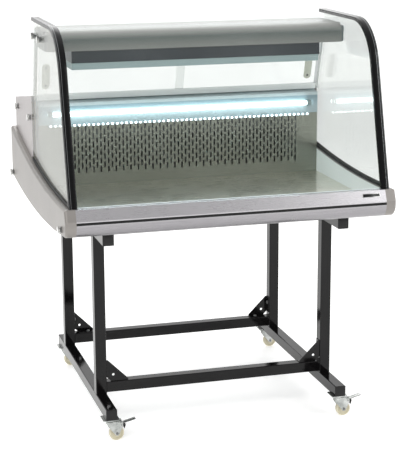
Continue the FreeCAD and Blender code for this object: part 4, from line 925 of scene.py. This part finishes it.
@dataclass
class Casters(SubAssembly):
    """The four swivel casters; the front pair has brake pedals.

    Attributes:
        trail: Distance from the swivel axis to the axle.
        wheel_radius: Radius of a wheel.
        wheel_half: Half of its width.
        cheek_inner: Distance from its middle to a cheek of the fork.
        sheet: Thickness of the fork.
        axle_radius: Radius of the axle.
        axle_boss: Radius of a cheek's lower end round the axle.
        king_pin: Radius of the hole for the kingpin.
        race_radius: Radius of the race.
        crown_back: Distance from the swivel axis to the fork's back.
        pedal_pin_x: Distance from the swivel axis to the pedal's pin.
        pedal_pin_z: Level of that pin.
        pedal_reach: Distance from the swivel axis to the pedal's tip.
        pedal_ribs: Number of ribs on a pedal.
        rib_pitch: Distance between two ribs.
    """

    trail: float = 0.022
    wheel_radius: float = 0.027
    wheel_half: float = 0.0105
    cheek_inner: float = 0.012
    sheet: float = 0.0025
    axle_radius: float = 0.003
    axle_boss: float = 0.0085
    king_pin: float = 0.0042
    race_radius: float = 0.0200
    crown_back: float = 0.012
    pedal_pin_x: float = 0.038
    pedal_pin_z: float = 0.058
    pedal_reach: float = 0.092
    pedal_ribs: int = 5
    rib_pitch: float = 0.006

    def build(self) -> None:
        """Add the wheels, forks and pedals, and dress the plates."""
        self.finishes.dress({"caster_plates": "caster_zinc", "caster_screws": "bolt_steel"})
        for place in ("front_left", "front_right", "rear_left", "rear_right"):
            low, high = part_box("caster_wheel_" + place)
            centre = (low + high) / 2
            self.wheel(place, centre)
            self.fork(place, centre)
            if place.startswith("front"):
                self.pedal(place, centre)

    def wheel(self, place: str, centre: Vector) -> None:
        """Add a wheel with a crowned tread, a dished web and a hub.

        Args:
            place: The caster's place, such as front_left.
            centre: The wheel's centre.
        """
        work = self.start("caster_tyre_" + place, "wheel_cream")
        r, half = self.wheel_radius, self.wheel_half
        hub = [(0.0117, self.axle_radius + 0.00008), (0.0117, 0.0062), (0.0112, 0.0066)]
        web = [(half - 0.0032, 0.0080), (half - 0.0036, 0.0110), (half - 0.0034, r - 0.0072)]
        tread = [(half - 0.0006, r - 0.0062), (half, r - 0.0050), (half - 0.0006, r - 0.0024),
                 (half - 0.0030, r - 0.0006), (half - 0.0060, r)]
        side = hub + web + tread
        profile = [(-a, radius) for a, radius in side] + [(a, radius) for a, radius in reversed(side)]
        work.turned(profile + profile[:1], centre, Axis.Y, 64)
        work.finish("wheel_" + place, "cream_plastic", "caster_wheel_" + place, smooth=40.0)

    def fork(self, place: str, centre: Vector) -> None:
        """Add a pressed fork with its axle bolt and nuts.

        Args:
            place: The caster's place, such as front_left.
            centre: The wheel's centre.
        """
        work = self.start("caster_yoke_" + place, "caster_zinc", "bolt_steel")
        axis_x, y, top = centre.x - self.trail, centre.y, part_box("caster_fork_" + place)[1].z
        braked = place.startswith("front")
        outer, boss = self.cheek_inner + self.sheet, self.axle_boss
        nose = axis_x + (self.pedal_pin_x + 0.006 if braked else self.trail + 0.010)
        back = axis_x - self.crown_back
        outline = [(back, top), (back, top - 0.016)]
        arc = [math.radians(a) for a in range(200, 341, 20)]
        outline += [(centre.x + boss * math.cos(a), centre.z + boss * math.sin(a)) for a in arc]
        outline += [(nose, self.pedal_pin_z - 0.006), (nose, top - 0.004), (nose - 0.004, top)]
        for side in (-outer, self.cheek_inner):
            work.plate(outline, Axis.Y, y + side, y + side + self.sheet, 0.0007)
        work.block((back, y - outer + 0.0004, top - self.sheet),
                   (nose - 0.006, y + outer - 0.0004, top), 0.0006)
        race = self.race_radius
        ring = [(-self.sheet, self.king_pin), (-self.sheet, race - 0.0005), (-0.0018, race), (-0.0006, race),
                (0.0, race - 0.0006), (0.0, 0.0165), (-0.0006, 0.0155), (0.0, 0.0145), (0.0, self.king_pin)]
        work.turned(ring + ring[:1], (axis_x, y, top), Axis.Z, 40)
        shank = [(-outer - 0.0005, 0.0), (-outer - 0.0005, self.axle_radius),
                 (outer + 0.0040, self.axle_radius), (outer + 0.0044, 0.0024), (outer + 0.0044, 0.0)]
        work.turned(shank, centre, Axis.Y, 20, 1)
        nut = [(0.0, 0.0), (0.0, 0.0052), (0.0005, 0.0052), (0.0026, 0.0050), (0.0030, 0.0042), (0.0030, 0.0)]
        for start, flip in ((-outer, True), (outer, False)):
            work.turned(nut, (centre.x, centre.y + start, centre.z), Axis.Y, 6, 1, flip)
        work.finish("caster_" + place, "zinc", "caster_fork_" + place)

    def pedal(self, place: str, centre: Vector) -> None:
        """Add a pressed brake pedal with ribs, a turned-up lip and a rubber shoe.

        Args:
            place: The caster's place, such as front_left.
            centre: The wheel's centre.
        """
        work = self.start("brake_lever_" + place, "caster_zinc", "cap_black", "bolt_steel")
        pin_x, z, y = centre.x - self.trail + self.pedal_pin_x, self.pedal_pin_z, centre.y
        tip = centre.x - self.trail + self.pedal_reach
        half = self.cheek_inner - 0.0008
        under = [(pin_x - 0.003, z + 0.0026), (pin_x + 0.009, z + 0.0044), (tip - 0.007, z + 0.0130)]
        lip = [(tip - 0.002, z + 0.0150), (tip, z + 0.0163), (tip - 0.0018, z + 0.0174),
               (tip - 0.005, z + 0.0164)]
        tread = [(tip - 0.012, z + 0.0143), (pin_x + 0.012, z + 0.0070), (pin_x - 0.002, z + 0.0046)]
        work.plate(under + lip + tread, Axis.Y, y - half, y + half, 0.0006)
        for k in range(self.pedal_ribs):
            rib = Vector((tip - 0.012 - self.rib_pitch * k, y, z + 0.0140 - 0.00165 * k))
            reach = half - 0.003
            work.block(rib - Vector((0.0011, reach, 0.001)), rib + Vector((0.0011, reach, 0.0014)), 0.0007)
        shoe = [(pin_x + 0.004, z + 0.001), (pin_x + 0.0145, z + 0.0052), (pin_x + 0.0168, z - 0.003),
                (pin_x + 0.0125, z - 0.0168), (pin_x + 0.0110, z - 0.0160), (pin_x + 0.0088, z - 0.0080)]
        work.plate(shoe, Axis.Y, y - half + 0.002, y + half - 0.002, 0.0008, 1)
        outer = self.cheek_inner + self.sheet
        pin = [(-outer - 0.001, 0.0), (-outer - 0.001, 0.0022), (-outer - 0.0006, 0.0025),
               (outer + 0.0006, 0.0025), (outer + 0.001, 0.0022), (outer + 0.001, 0.0)]
        work.turned(pin, (pin_x, y, z), Axis.Y, 20, 2)
        work.finish("pedal_" + place, "zinc", "brake_pedal_" + place)


# ---------------------------------------------------------------------------------------------------
# Glass
# ---------------------------------------------------------------------------------------------------


@dataclass
class CurvedLine:
    """The line of the curved glass: up at a lean, round an arc and back on the level.

    Attributes:
        foot: The (y, z) point of the outer face at the glass's lower edge.
        top: Level of the outer face at the top.
        rear: Where the glass ends at the back.
        lean: Lean of its straight part.
        radius: Radius of its arc at the outer face.
        spare: Length below the foot that the level cut takes off.
    """

    foot: tuple[float, float]
    top: float
    rear: float
    lean: float = math.radians(15.2)
    radius: float = 0.190
    spare: float = 0.012

    @property
    def centre(self) -> Vector:
        """The arc's centre in the plane of the line."""
        level = self.top - self.radius
        rise = level + self.radius * math.sin(self.lean) - self.foot[1]
        tangent = self.foot[0] + rise * math.tan(self.lean)
        return Vector((0.0, tangent + self.radius * math.cos(self.lean), level))

    def sweep(self, work: Workpiece, section: Sequence[tuple[float, float]], foot_z: float,
              steps: int = 36) -> None:
        """Draw a closed section along the line.

        Args:
            work: The workpiece that takes the body.
            section: The section's (x, distance outwards) points.
            foot_z: Level that it starts from, and is cut level at.
            steps: Number of faces round the arc.
        """
        mesh = work.mesh
        up = Vector((0.0, math.sin(self.lean), math.cos(self.lean)))
        out = Vector((0.0, -math.cos(self.lean), math.sin(self.lean)))
        tangent = self.centre + out * self.radius
        drop = (tangent.z - foot_z) / up.z + self.spare
        base = tangent - up * drop
        verts = [mesh.verts.new(base + Vector((x, 0, 0)) + out * away) for x, away in section]
        loop = [mesh.edges.new((a, b)) for a, b in zip(verts, verts[1:] + verts[:1])]
        mesh.faces.new(verts)
        before = set(mesh.faces)
        made = bmesh.ops.extrude_edge_only(mesh, edges=loop)["geom"]
        ring = [g for g in made if isinstance(g, bmesh.types.BMVert)]
        bmesh.ops.translate(mesh, vec=up * drop, verts=ring)
        edges = [g for g in made if isinstance(g, bmesh.types.BMEdge) and set(g.verts) <= set(ring)]
        turn = bmesh.ops.spin(mesh, geom=ring + edges, cent=self.centre, axis=Vector((-1, 0, 0)),
                              angle=math.pi / 2 - self.lean, steps=steps, use_merge=False,
                              use_duplicate=False)["geom_last"]
        last = [g for g in turn if isinstance(g, bmesh.types.BMEdge)]
        made = bmesh.ops.extrude_edge_only(mesh, edges=last)["geom"]
        ring = [g for g in made if isinstance(g, bmesh.types.BMVert)]
        bmesh.ops.translate(mesh, vec=Vector((0, self.rear - self.centre.y, 0)), verts=ring)
        end = [g for g in made if isinstance(g, bmesh.types.BMEdge) and set(g.verts) <= set(ring)]
        bmesh.ops.contextual_create(mesh, geom=end)
        fresh = [f for f in mesh.faces if f not in before]
        verts, edges = (each_once(g for f in fresh for g in getattr(f, kind)) for kind in ("verts", "edges"))
        geom = verts + edges + fresh
        cut = bmesh.ops.bisect_plane(mesh, geom=geom, plane_co=Vector((0, 0, foot_z)),
                                     plane_no=Vector((0, 0, -1)), clear_outer=True)["geom_cut"]
        rim = [g for g in cut if isinstance(g, bmesh.types.BMEdge)]
        bmesh.ops.contextual_create(mesh, geom=rim)


@dataclass
class Glazing(SubAssembly):
    """The curved front glass, the side panes, the edge profiles and the seals.

    Attributes:
        thickness: Thickness of the curved glass.
        seam: Distance from its ends to the front beam's.
        profile_width: Width of an edge profile.
        profile_outer: How far it stands out of the glass.
        profile_inner: How far it reaches in behind the glass's outer face.
        beads: Where its silver beads start and end, from its outer edge; their silver also stands in as
            painted highlight lines.
        widest_bead: Greatest width of a face on a bead.
        soft: Faces that meet at less than this angle, in degrees, are shaded smooth.
    """

    thickness: float = 0.006
    seam: float = 0.002
    profile_width: float = 0.030
    profile_outer: float = 0.0035
    profile_inner: float = 0.010
    beads: tuple[tuple[float, float], ...] = ((0.0018, 0.0033), (0.0080, 0.0096))
    widest_bead: float = 0.004
    soft: float = 30.0

    def build(self) -> None:
        """Add the front glass and its edge profiles, and dress the rest."""
        self.finishes.dress({"side_glass": "pane", "glass_seals": "seal_black"})
        low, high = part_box("curved_front_glass")
        line = CurvedLine((low.y, low.z), high.z, high.y)
        self.front_glass(line, low.z)
        self.edge_profiles(line)

    def front_glass(self, line: CurvedLine, foot: float) -> None:
        """Add the curved glass.

        Args:
            line: The line that it follows.
            foot: Level of its lower edge.
        """
        work = self.start("bent_front_pane", "front_pane")
        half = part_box("front_beam")[1].x - self.seam
        section = [(-half, 0.0), (-half, -self.thickness), (half, -self.thickness), (half, 0.0)]
        line.sweep(work, section, foot)
        work.finish("root", "clear_glass", "curved_front_glass", smooth=self.soft)

    def edge_profiles(self, line: CurvedLine) -> None:
        """Add the black edge profiles, each with two fine silver beads that also carry painted highlight
        lines.

        Args:
            line: The line that they follow.
        """
        low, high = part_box("glass_edge_profiles")
        width, rim, back = self.profile_width, self.profile_outer, -self.profile_inner
        shape = [(0.0, rim - 0.0010), (0.0006, rim - 0.0002)]
        for start, end in self.beads:
            shape += [(start, rim - 0.0004), (start + 0.0004, rim), (end - 0.0004, rim), (end, rim - 0.0004)]
        shape += [(0.0125, rim - 0.0006), (width - 0.003, rim - 0.0004), (width - 0.0008, rim - 0.0016),
                  (width, rim - 0.0030), (width, 0.0002), (width, back + 0.001), (width - 0.001, back),
                  (0.001, back), (0.0, back + 0.001)]
        for name, outer_x, inward, stands_for in (("left", low.x, 1.0, ("glass_edge_profiles",)),
                                                  ("right", high.x, -1.0, ())):
            work = self.start("edge_profile_" + name, "profile_black", "profile_silver")
            line.sweep(work, [(outer_x + inward * x, away) for x, away in shape], low.z)
            for face in work.mesh.faces:
                face.material_index = int(self.on_bead(face, outer_x))
            work.finish("root", "black_plastic", *stands_for, smooth=self.soft)

    def on_bead(self, face: bmesh.types.BMFace, outer_x: float) -> bool:
        """Say whether a face is on a bright bead.

        Args:
            face: A face of an edge profile.
            outer_x: Where the profile starts.

        Returns:
            Whether it is.
        """
        reach = abs(face.calc_center_median().x - outer_x)
        breadth = max(v.co.x for v in face.verts) - min(v.co.x for v in face.verts)
        return breadth < self.widest_bead and any(start <= reach <= end for start, end in self.beads)


# ---------------------------------------------------------------------------------------------------
# The case
# ---------------------------------------------------------------------------------------------------


@dataclass
class CaseBody(SubAssembly):
    """The base, the front beam, the end panels, the roof and what hangs under it.

    Attributes:
        badge_sheet: Thickness of the badge plate.
        badge_rim: Width of its rim.
    """

    badge_sheet: float = 0.0012
    badge_rim: float = 0.0015

    def build(self) -> None:
        """Dress the case's sheet metal and add the badge plate."""
        self.finishes.dress({
            "base_tub": "galvanised",
            "insulation": "foam_yellow",
            "deck_plate": "deck_steel",
            "front_beam": "beam_aluminium",
            "beam_insert_strip": "seal_black",
            "end_panel_left": "panel_grey",
            "end_panel_right": "panel_grey",
            "chamber_liners": "liner_steel",
            "roof_panel": "roof_white",
            "roof_brackets": "bracket_slate",
            "lamp_box": "lamp_slate",
            "lamp_cover": "lamp_cover_grey",
        })
        self.badge()

    def badge(self) -> None:
        """Add the blank badge plate: a bright rim round a dark face."""
        low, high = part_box("badge_plate")
        work = self.start("blank_badge", "bright_metal", "screen_black")
        lean = math.atan2(high.y - low.y - 0.001, high.z - low.z)
        length = math.hypot(high.y - low.y, high.z - low.z) - self.badge_sheet
        turn = Matrix.Translation((low + high) / 2) @ Matrix.Rotation(-lean, 4, "X")
        half, tall, thick, rim = (high.x - low.x) / 2, length / 2, self.badge_sheet / 2, self.badge_rim
        work.block((-half, -thick, -tall), (half, thick, tall), 0.0004, 0, turn)
        face = Vector((half - rim, 0.0, tall - rim))
        work.block((-face.x, -thick - 0.0002, -face.z), face, 0.0002, 1, turn)
        work.finish("root", "polished_aluminium", "badge_plate")


@dataclass
class FinnedCoil(SubAssembly):
    """A coil of fins on tubes that run from side to side, with end plates and feet.

    Attributes:
        node: The CAD node that it stands for.
        name: The piece's name.
        foot: Height of its feet.
        fins: Number of spaces between its fins.
        inset: Distance from its ends to its end plates.
        fin: Thickness of a fin.
        end_plate: Thickness of an end plate.
        row_pitch: Height of a row of tubes, about.
        pipe_radius: Radius of its tubes.
    """

    node: str
    name: str
    foot: float
    fins: int
    inset: float = 0.012
    fin: float = 0.0003
    end_plate: float = 0.0015
    row_pitch: float = 0.032
    pipe_radius: float = 0.0045

    def build(self) -> None:
        """Add the coil."""
        low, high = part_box(self.node)
        work = self.start(self.name, "coil_aluminium", "bolt_steel")
        start, end, bottom = low.x + self.inset, high.x - self.inset, low.z + self.foot
        for k in range(self.fins + 1):
            x = start + (end - start) * k / self.fins
            half = (self.end_plate if k in (0, self.fins) else self.fin) / 2
            work.block((x - half, low.y + 0.001, bottom), (x + half, high.y - 0.001, high.z - 0.001))
        rows = max(2, round((high.z - low.z - self.foot) / self.row_pitch))
        length, deep = high.x - low.x, high.y - low.y
        pipe = [(0.0, 0.0), (0.0, self.pipe_radius), (length, self.pipe_radius), (length, 0.0)]
        for row in range(rows):
            z = bottom + (row + 0.5) * (high.z - low.z - self.foot) / rows
            for y in (low.y + 0.25 * deep, low.y + 0.75 * deep):
                work.turned(pipe, (low.x, y, z), Axis.X, 12, 1)
        for x in (start, end):
            work.block((x - self.inset, low.y + 0.002, low.z),
                       (x + self.inset, high.y - 0.002, bottom), 0.001, 1)
        work.finish("root", "coil_metal", self.node)


@dataclass
class Chamber(SubAssembly):
    """The cold chamber's back: the grille, the lamps, the coil and its fan.

    Attributes:
        chips: Number of small lamps on the strip.
        chip_half: Half of a small lamp's width.
        chip_inset: Distance from the strip's edges to a small lamp.
        chip_reach: How far the small lamps' faces and backs stand out of the strip's seat.
        bar_radius: Radius of the lamp bar.
        clip_half: Half of a clip's width.
        clip_sheet: Thickness of a clip, with its clearance.
        clip_inset: Distance from the bar's ends to the clips' middles.
        strip_height: Height of the strip.
        strip_sheet: Thickness of the strip.
    """

    chips: int = 57
    chip_half: float = 0.0032
    chip_inset: float = 0.0015
    chip_reach: tuple[float, float] = (0.0050, 0.0030)
    bar_radius: float = 0.008
    clip_half: float = 0.009
    clip_sheet: float = 0.0022
    clip_inset: float = 0.007
    strip_height: float = 0.009
    strip_sheet: float = 0.0035

    def build(self) -> None:
        """Dress the sheet metal and add the lamps and the coil."""
        self.finishes.dress({
            "air_grille": "grille_steel",
            "lamp_canopy": "canopy_steel",
            "evaporator_fan_plate": "galvanised",
            "evaporator_fan": "fan_black",
        })
        self.lamps()
        FinnedCoil(self.finishes, "evaporator", "evaporator_coil", 0.018, 150).build()

    def lamps(self) -> None:
        """Add the lamp bar, its clips and the strip of small lamps."""
        low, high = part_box("led_lamps")
        work = self.start("lamp_bar_and_strip", "lamp_bar", "canopy_steel", "lamp_chip", "lamp_cover_grey")
        r, wide, half = self.bar_radius, self.clip_half, high.x - 0.002
        y, z = low.y + self.clip_sheet + r, high.z - self.clip_sheet - r
        tube = [(0.0, 0.0), (0.0, r - 0.001), (0.001, r), (2 * half - 0.001, r), (2 * half, r - 0.001),
                (2 * half, 0.0)]
        work.turned(tube, (-half, y, z), Axis.X, 32)
        clip = [(-wide, r + 0.0001), (-wide, r + 0.0018), (-wide + 0.0006, r + self.clip_sheet),
                (wide - 0.0006, r + self.clip_sheet), (wide, r + 0.0018), (wide, r + 0.0001)]
        for x in (self.clip_inset - half, half - self.clip_inset):
            work.turned(clip + clip[:1], (x, y, z), Axis.X, 32, 3)
            work.block((x - wide, y + 0.006, z - 0.007), (x + wide, high.y, z + 0.007), 0.0006, 3)
        strip_top = low.z + self.strip_height
        work.block((-half, high.y - self.strip_sheet, low.z), (half, high.y, strip_top), 0.0004, 1)
        pitch = 2 * half / self.chips
        face, back = (high.y - reach for reach in self.chip_reach)
        for k in range(self.chips):
            x = -half + (k + 0.5) * pitch
            work.block((x - self.chip_half, face, low.z + self.chip_inset),
                       (x + self.chip_half, back, strip_top - self.chip_inset), 0.0004, 2, steps=1)
        work.finish("root", "led_white", "led_lamps")


@dataclass
class MachineBay(SubAssembly):
    """The rear housing with the compressor, the condenser, its fan and the controls."""

    def build(self) -> None:
        """Dress the machine bay and add its coil."""
        self.finishes.dress({
            "rear_housing": "housing_grey",
            "compressor": "compressor_black",
            "condenser_shroud": "galvanised",
            "condenser_fan": "blade_aluminium",
            "control_panel": "cap_black",
            "temperature_controller": "screen_black",
            "power_switch": "switch_green",
            "power_inlet": "cap_black",
        })
        FinnedCoil(self.finishes, "condenser", "condenser_coil", 0.012, 96).build()


@dataclass
class ServingSide(SubAssembly):
    """The rear sliding doors with their tracks, posts and pulls.

    Attributes:
        pull_sheet: Depth that a pull's own thickness takes of its box.
        pull_half: Half of a pull's thickness.
        screw_radius: Radius of its screws' heads.
    """

    pull_sheet: float = 0.003
    pull_half: float = 0.0014
    screw_radius: float = 0.0045

    def build(self) -> None:
        """Dress the doors, tracks and posts and add the pulls."""
        self.finishes.dress({
            "rear_door_left": "pane",
            "rear_door_right": "pane",
            "door_tracks": "track_white",
            "door_posts": "post_chrome",
        })
        for side in ("left", "right"):
            self.pull(side)

    def pull(self, side: str) -> None:
        """Add a door pull: a leaning strip with round ends and two screws.

        Args:
            side: The door's side, left or right.
        """
        low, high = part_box("door_pull_" + side)
        work = self.start("strip_pull_" + side, "pull_beige", "bolt_steel")
        run = Vector((0, low.y - high.y + self.pull_sheet, high.z - low.z))
        turn = Matrix.Translation((low + high) / 2) @ Matrix.Rotation(math.atan2(-run.y, run.z), 4, "X")
        half, thick = (high.x - low.x) / 2, self.pull_half
        reach = run.length / 2 - half - 0.001
        rim = [(-thick, 0.0), (-thick, half - 0.0008), (-0.0008, half), (0.0008, half),
               (thick, half - 0.0008), (thick, 0.0)]
        for vert in work.turned(rim, (0, 0, 0), Axis.Y, 40):
            vert.co.z += reach if vert.co.z > -1e-6 else -reach
            vert.co = turn @ vert.co
        screw = [(-0.00143, 0.0), (-0.00143, self.screw_radius), (thick, self.screw_radius),
                 (0.00155, self.screw_radius - 0.0005), (0.0016, 0.0)]
        for z in (-reach, reach):
            for vert in work.turned(screw, (0, 0, 0), Axis.Y, 20, 1):
                vert.co = turn @ (vert.co + Vector((0, 0, z)))
        work.finish("door_" + side, "polished_aluminium", "door_pull_" + side)


@dataclass
class HandScrews(SubAssembly):
    """The round-headed hand screws that hold the panels, the housing and the roof.

    Attributes:
        head: Radius of a head.
        flange: Radius of the washer under it.
        neck: Radius of the neck between them.
        shank: Radius of the thread inside.
        knurls: Number of ridges round a head.
        knurl_depth: Depth between two ridges.
        panel_y: Distance of the panels' screws from the panels' front and rear ends.
        housing_y: Where the housing's screws are.
        roof_y: Where the roof's screws are.
        levels: Levels of the panels', the housing's and the roof's screws above the base.
    """

    head: float = 0.0125
    flange: float = 0.0115
    neck: float = 0.0070
    shank: float = 0.004
    knurls: int = 36
    knurl_depth: float = 0.0005
    panel_y: tuple[float, float] = (0.081, 0.030)
    housing_y: tuple[float, float] = (0.224, 0.516)
    roof_y: tuple[float, float] = (-0.056, 0.072)
    levels: tuple[float, float, float] = (0.032, 0.304, 0.627)

    def build(self) -> None:
        """Add every hand screw, on both sides."""
        work = self.start("knurled_screws", "screw_chrome", "bolt_steel")
        panel_low, panel_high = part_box("end_panel_right")
        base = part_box("base_tub")[0].z
        panel_z, housing_z, roof_z = (base + level for level in self.levels)
        ends = (panel_low.y + self.panel_y[0], panel_high.y - self.panel_y[1])
        seats = [(panel_high.x, y, panel_z) for y in ends]
        seats += [(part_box("rear_housing")[1].x, y, housing_z) for y in self.housing_y]
        seats += [(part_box("side_glass")[1].x + 0.0002, y, roof_z) for y in self.roof_y]
        for x, y, z in seats:
            for sign in (-1, 1):
                self.screw(work, Vector((sign * x, y, z)), sign)
        work.finish("root", "polished_aluminium", "hand_screws")

    def screw(self, work: Workpiece, seat: Vector, sign: int) -> None:
        """Add one hand screw: a dark washer, a neck and a knurled head.

        Args:
            work: The workpiece that takes it.
            seat: The point where its axis meets the panel.
            sign: The side that it points to, -1 for the left or 1 for the right.
        """
        flip = sign < 0
        washer = [(-0.012, 0.0), (-0.012, self.shank), (0.0, self.shank), (0.0, self.flange - 0.0006),
                  (0.0006, self.flange), (0.0019, self.flange), (0.0025, self.flange - 0.0006),
                  (0.0025, self.neck), (0.0058, self.neck), (0.0058, 0.0)]
        work.turned(washer, seat, Axis.X, 32, 1, flip)
        grip = [(0.0055, 0.0), (0.0055, self.head - 0.0008), (0.0062, self.head), (0.0084, self.head),
                (0.0087, self.head - 0.0006), (0.0091, self.head - 0.0006), (0.0094, self.head),
                (0.0122, self.head), (0.0132, self.head - 0.0012), (0.0135, self.head - 0.0040),
                (0.0131, 0.0)]
        for vert in work.turned(grip, seat, Axis.X, self.knurls * 2, 0, flip):
            away = Vector((0, vert.co.y - seat.y, vert.co.z - seat.z))
            turn = round(math.atan2(away.z, away.y) / (math.pi / self.knurls))
            if away.length > self.head - 0.0002 and turn % 2:
                vert.co -= away.normalized() * self.knurl_depth


# ---------------------------------------------------------------------------------------------------
# Studio
# ---------------------------------------------------------------------------------------------------


@dataclass(frozen=True)
class SoftLamp:
    """A square soft light.

    Attributes:
        name: Its name.
        place: Where it is.
        aim: What it points at.
        size: Length of its side.
        power: Its power in watts.
    """

    name: str
    place: Point
    aim: Point
    size: float
    power: float

    def hang(self) -> None:
        """Add the light to the scene."""
        data = bpy.data.lights.new(self.name, "AREA")
        data.size = self.size
        data.energy = self.power
        light = bpy.data.objects.new(self.name, data)
        light.location = self.place
        light.rotation_euler = (Vector(self.aim) - Vector(self.place)).to_track_quat("-Z", "Y").to_euler()
        bpy.context.scene.collection.objects.link(light)


@dataclass
class Studio:
    """The floor, the lights and the camera.

    The room is dim on the near side and brighter overhead and behind, where the white paper hangs.

    Attributes:
        eye: Where the camera is.
        yaw: How far it is turned to the right of straight back.
        pitch: How far it looks down.
        roll: How far it is tipped.
        lens: Its focal length in millimetres, on film of 36 mm.
        room: Brightness of the room all round.
        ceiling: Brightness added overhead.
        backdrop: Brightness added behind.
        paper: Brightness of the white paper as the camera sees it.
        floor_glow: Light that the lit paper under the floor adds to it.
        lamps: The lamps.
    """

    eye: Point = (-1.4401, -5.2022, 1.9391)
    yaw: float = math.radians(15.963)
    pitch: float = math.radians(13.407)
    roll: float = math.radians(-0.26)
    lens: float = 115.97
    room: float = 0.36
    ceiling: float = 0.42
    backdrop: float = 0.66
    paper: float = 1.02
    floor_glow: float = 0.36
    lamps: tuple[SoftLamp, ...] = (
        SoftLamp("key", (-2.6, -3.4, 4.2), (0.0, 0.0, 0.8), 3.2, 95.0),
        SoftLamp("fill", (3.4, -3.2, 2.8), (0.0, 0.0, 0.8), 3.0, 60.0),
        SoftLamp("back", (0.5, 3.6, 3.4), (0.0, 0.0, 0.9), 3.0, 40.0),
    )

    def build(self) -> None:
        """Add the floor, the world's light, the lamps and the camera."""
        self.floor()
        self.world()
        for lamp in self.lamps:
            lamp.hang()
        self.camera()

    def floor(self) -> None:
        """Add the pale floor."""
        sheet = NodeSheet("studio_floor")
        drift = sheet.noise(0.6, 3.0)
        shader = sheet.surface(sheet.blend(drift, paint("f6f6f5"), paint("f2f2f1")), 0.6 + drift * 0.05,
                               Specular_IOR_Level=0.2, Emission_Color=(1.0, 1.0, 1.0),
                               Emission_Strength=self.floor_glow)
        data = bpy.data.meshes.new("studio_floor")
        mesh = bmesh.new()
        bmesh.ops.create_grid(mesh, x_segments=1, y_segments=1, size=30.0)
        mesh.to_mesh(data)
        mesh.free()
        data.materials.append(sheet.done(shader))
        floor = bpy.data.objects.new("studio_floor", data)
        bpy.context.scene.collection.objects.link(floor)

    def world(self) -> None:
        """Light the scene from all round with white."""
        sheet = NodeSheet("studio", "worlds")
        seen = Signal(sheet, sheet.add("ShaderNodeLightPath").outputs["Is Camera Ray"])
        behind = sheet.remap(sheet.axis("Y"), -0.25, 0.7, 0.0, self.backdrop)
        overhead = sheet.remap(sheet.axis("Z"), 0.0, 1.0, 0.0, self.ceiling)
        glow = (behind + overhead + self.room) * (1 - seen) + seen * self.paper
        light = sheet.add("ShaderNodeBackground", None, {"Color": (1.0, 1.0, 1.0), "Strength": glow})
        sheet.add("ShaderNodeOutputWorld", None, {"Surface": light.outputs[0]})
        bpy.context.scene.world = sheet.owner
        bpy.context.scene.view_settings.view_transform = "Standard"

    def camera(self) -> None:
        """Add the camera."""
        ahead = Vector((math.sin(self.yaw) * math.cos(self.pitch), math.cos(self.yaw) * math.cos(self.pitch),
                        -math.sin(self.pitch)))
        right = Vector((math.cos(self.yaw), -math.sin(self.yaw), 0.0))
        up = right.cross(ahead)
        right_rolled = right * math.cos(self.roll) + up * math.sin(self.roll)
        up_rolled = up * math.cos(self.roll) - right * math.sin(self.roll)
        turn = Matrix((right_rolled, up_rolled, -ahead)).transposed().to_4x4()
        data = bpy.data.cameras.new("camera")
        data.lens = self.lens
        data.sensor_width = 36.0
        data.clip_end = 100.0
        camera = bpy.data.objects.new("camera", data)
        camera.matrix_world = Matrix.Translation(self.eye) @ turn
        bpy.context.scene.collection.objects.link(camera)
        bpy.context.scene.camera = camera


def main() -> None:
    """Build every part of the scene in order."""
    finishes = Finishes()
    for part in (Studio(), Stand(finishes), Casters(finishes), Glazing(finishes), CaseBody(finishes),
                 Chamber(finishes), MachineBay(finishes), ServingSide(finishes), HandScrews(finishes)):
        part.build()
        log.info("%s is built", type(part).__name__)


if __name__ == "__main__":
    main()
